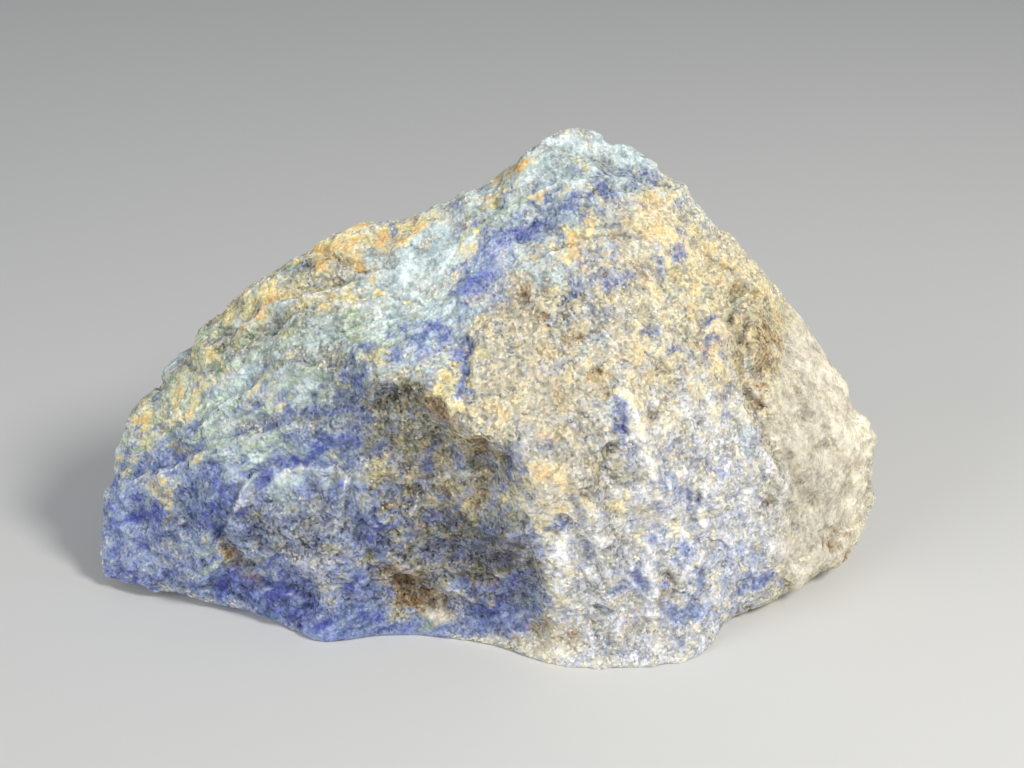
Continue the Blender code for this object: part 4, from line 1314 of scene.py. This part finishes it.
class LapisStoneSettings(bpy.types.PropertyGroup):
    """Sizes and colours of the stone"""

    blank_grain: length_property(
        "Blank Grain", "Size of the even faces that the relief is worked into", 0.00036, min=0.0002)
    triangles: bpy.props.IntProperty(
        name="Triangles", description="Most triangles that the finished stone keeps",
        default=192000, min=10000)
    ledge_spacing: relief_property("Ledge Spacing", "Distance between the broken layers")
    ledge_height: relief_property("Ledge Height", "How far a broken layer stands out")
    break_size: relief_property("Break Size", "Width of a large break face")
    break_slope: relief_property("Break Slope", "How steeply the large break faces lean")
    chip_size: relief_property("Chip Size", "Width of a small break face")
    chip_slope: relief_property("Chip Slope", "How steeply the small break faces lean")
    flake_size: relief_property("Flake Size", "Width of the smallest break face")
    flake_slope: relief_property("Flake Slope", "How steeply the smallest break faces lean")
    swell_height: relief_property("Swell Height", "Height of the soft swells between the breaks")
    pit_size: relief_property("Pit Size", "Distance between places where a grain may have fallen out")
    pit_depth: relief_property("Pit Depth", "Depth of the pits where grains fell out")
    seed: relief_property("Seed", "Number that shifts the whole pattern of breaks")
    grain_size: length_property("Grain Size", "Width of a single crystal grain", 0.00030)
    bump_depth: length_property("Bump Depth", "Depth of the finest roughness", 0.0006)
    ground_amount: bpy.props.FloatProperty(
        name="Ground Amount", description="How strongly the pale ground shows between the minerals",
        default=0.44)
    lazurite: colour_property("Lazurite", "Violet blue of the rich grains", (78, 84, 164))
    lazurite_teal: colour_property("Teal Lazurite", "Greener blue of other rich grains", (84, 110, 152))
    lazurite_pale: colour_property("Pale Lazurite", "Blue of the thin and powdery grains", (142, 156, 190))
    # Also painted shade along the lower left edge.
    deep_blue: colour_property("Deep Blue", "Darkest blue of the lower left edge", (40, 40, 106))
    crust: colour_property("Crust", "Blue-grey of the weathered top", (160, 178, 182))
    crust_light: colour_property("Light Crust", "Pale sky-blue of the powdered top", (208, 222, 222))
    green_crust: colour_property("Green Crust", "Olive green of the weathered left", (146, 160, 136))
    green_crust_light: colour_property(
        "Light Green Crust", "Pale green of the weathered left", (198, 210, 184))
    bloom: colour_property("Bloom", "Cool white of the sugary lower right", (224, 224, 224))
    bloom_grey: colour_property("Grey Bloom", "Lavender grey between the white grains", (176, 181, 194))
    cream: colour_property("Cream", "Cream of the upper right face", (218, 208, 178))
    peach: colour_property("Peach", "Peach stain of the upper right face", (228, 198, 142))
    ochre: colour_property("Ochre", "Orange iron stain", (224, 180, 112))
    ochre_pale: colour_property("Pale Ochre", "Yellow-cream iron stain", (228, 214, 160))
    rust: colour_property("Rust", "Dark brown iron stain", (122, 90, 54))
    rust_pale: colour_property("Pale Rust", "Light brown iron stain", (174, 146, 106))
    calcite: colour_property("Calcite", "Cream-white sugary calcite", (236, 228, 208))
    calcite_grey: colour_property("Grey Calcite", "Greenish-grey clear calcite", (192, 183, 158))
    ground: colour_property("Ground", "Cream of the mixed ground", (228, 220, 196))
    ground_grey: colour_property("Grey Ground", "Grey of the mixed ground", (184, 182, 174))
    olive_grains: colour_property("Olive Grains", "Olive-grey grains", (150, 145, 116))
    dark_grains: colour_property("Dark Grains", "Darkest grains", (86, 82, 68))


class LapisStudioSettings(bpy.types.PropertyGroup):
    """Sizes and strengths of the studio"""

    floor_size: length_property("Floor Size", "Width of the plain floor", 4.0)
    floor_colour: colour_property("Floor Colour", "Colour of the plain floor", (214, 214, 212))
    key_power: bpy.props.FloatProperty(
        name="Key Power", description="Strength of the main light", default=1.15, unit="POWER")
    fill_power: bpy.props.FloatProperty(
        name="Fill Power", description="Strength of the light from the left", default=1.0, unit="POWER")
    air_strength: bpy.props.FloatProperty(
        name="Air Strength", description="Strength of the even light from all round", default=0.34)


class LAPIS_OT_build_stone(bpy.types.Operator):
    """Build the rough stone with its broken surface and its minerals"""

    bl_idname = "lapis.build_stone"
    bl_label = "Build Rough Stone"

    def execute(self, context):
        build_stone(context.scene.lapis_stone)
        return {"FINISHED"}


class LAPIS_OT_build_stage(bpy.types.Operator):
    """Set out the plain floor, the soft lights and the camera"""

    bl_idname = "lapis.build_stage"
    bl_label = "Build Studio"

    def execute(self, context):
        build_stage(context.scene.lapis_studio)
        return {"FINISHED"}


class LAPIS_PT_panel(bpy.types.Panel):
    """Lists the stone's settings and its operators"""

    bl_idname = "LAPIS_PT_panel"
    bl_label = "Rough Lapis Lazuli"
    bl_space_type = "VIEW_3D"
    bl_region_type = "UI"
    bl_category = "Lapis"

    def draw(self, context):
        layout = self.layout
        layout.operator(LAPIS_OT_build_stone.bl_idname)
        for name in LapisStoneSettings.__annotations__:
            layout.prop(context.scene.lapis_stone, name)
        layout.operator(LAPIS_OT_build_stage.bl_idname)
        for name in LapisStudioSettings.__annotations__:
            layout.prop(context.scene.lapis_studio, name)


CLASSES = (
    LapisStoneSettings, LapisStudioSettings, LAPIS_OT_build_stone, LAPIS_OT_build_stage, LAPIS_PT_panel,
)


def register():
    for item in CLASSES:
        bpy.utils.register_class(item)
    bpy.types.Scene.lapis_stone = bpy.props.PointerProperty(type=LapisStoneSettings)
    bpy.types.Scene.lapis_studio = bpy.props.PointerProperty(type=LapisStudioSettings)


def unregister():
    del bpy.types.Scene.lapis_studio
    del bpy.types.Scene.lapis_stone
    for item in reversed(CLASSES):
        bpy.utils.unregister_class(item)


def main():
    register()
    grain_group()
    share_group()
    bpy.ops.lapis.build_stone()
    bpy.ops.lapis.build_stage()


if __name__ == "__main__":
    main()
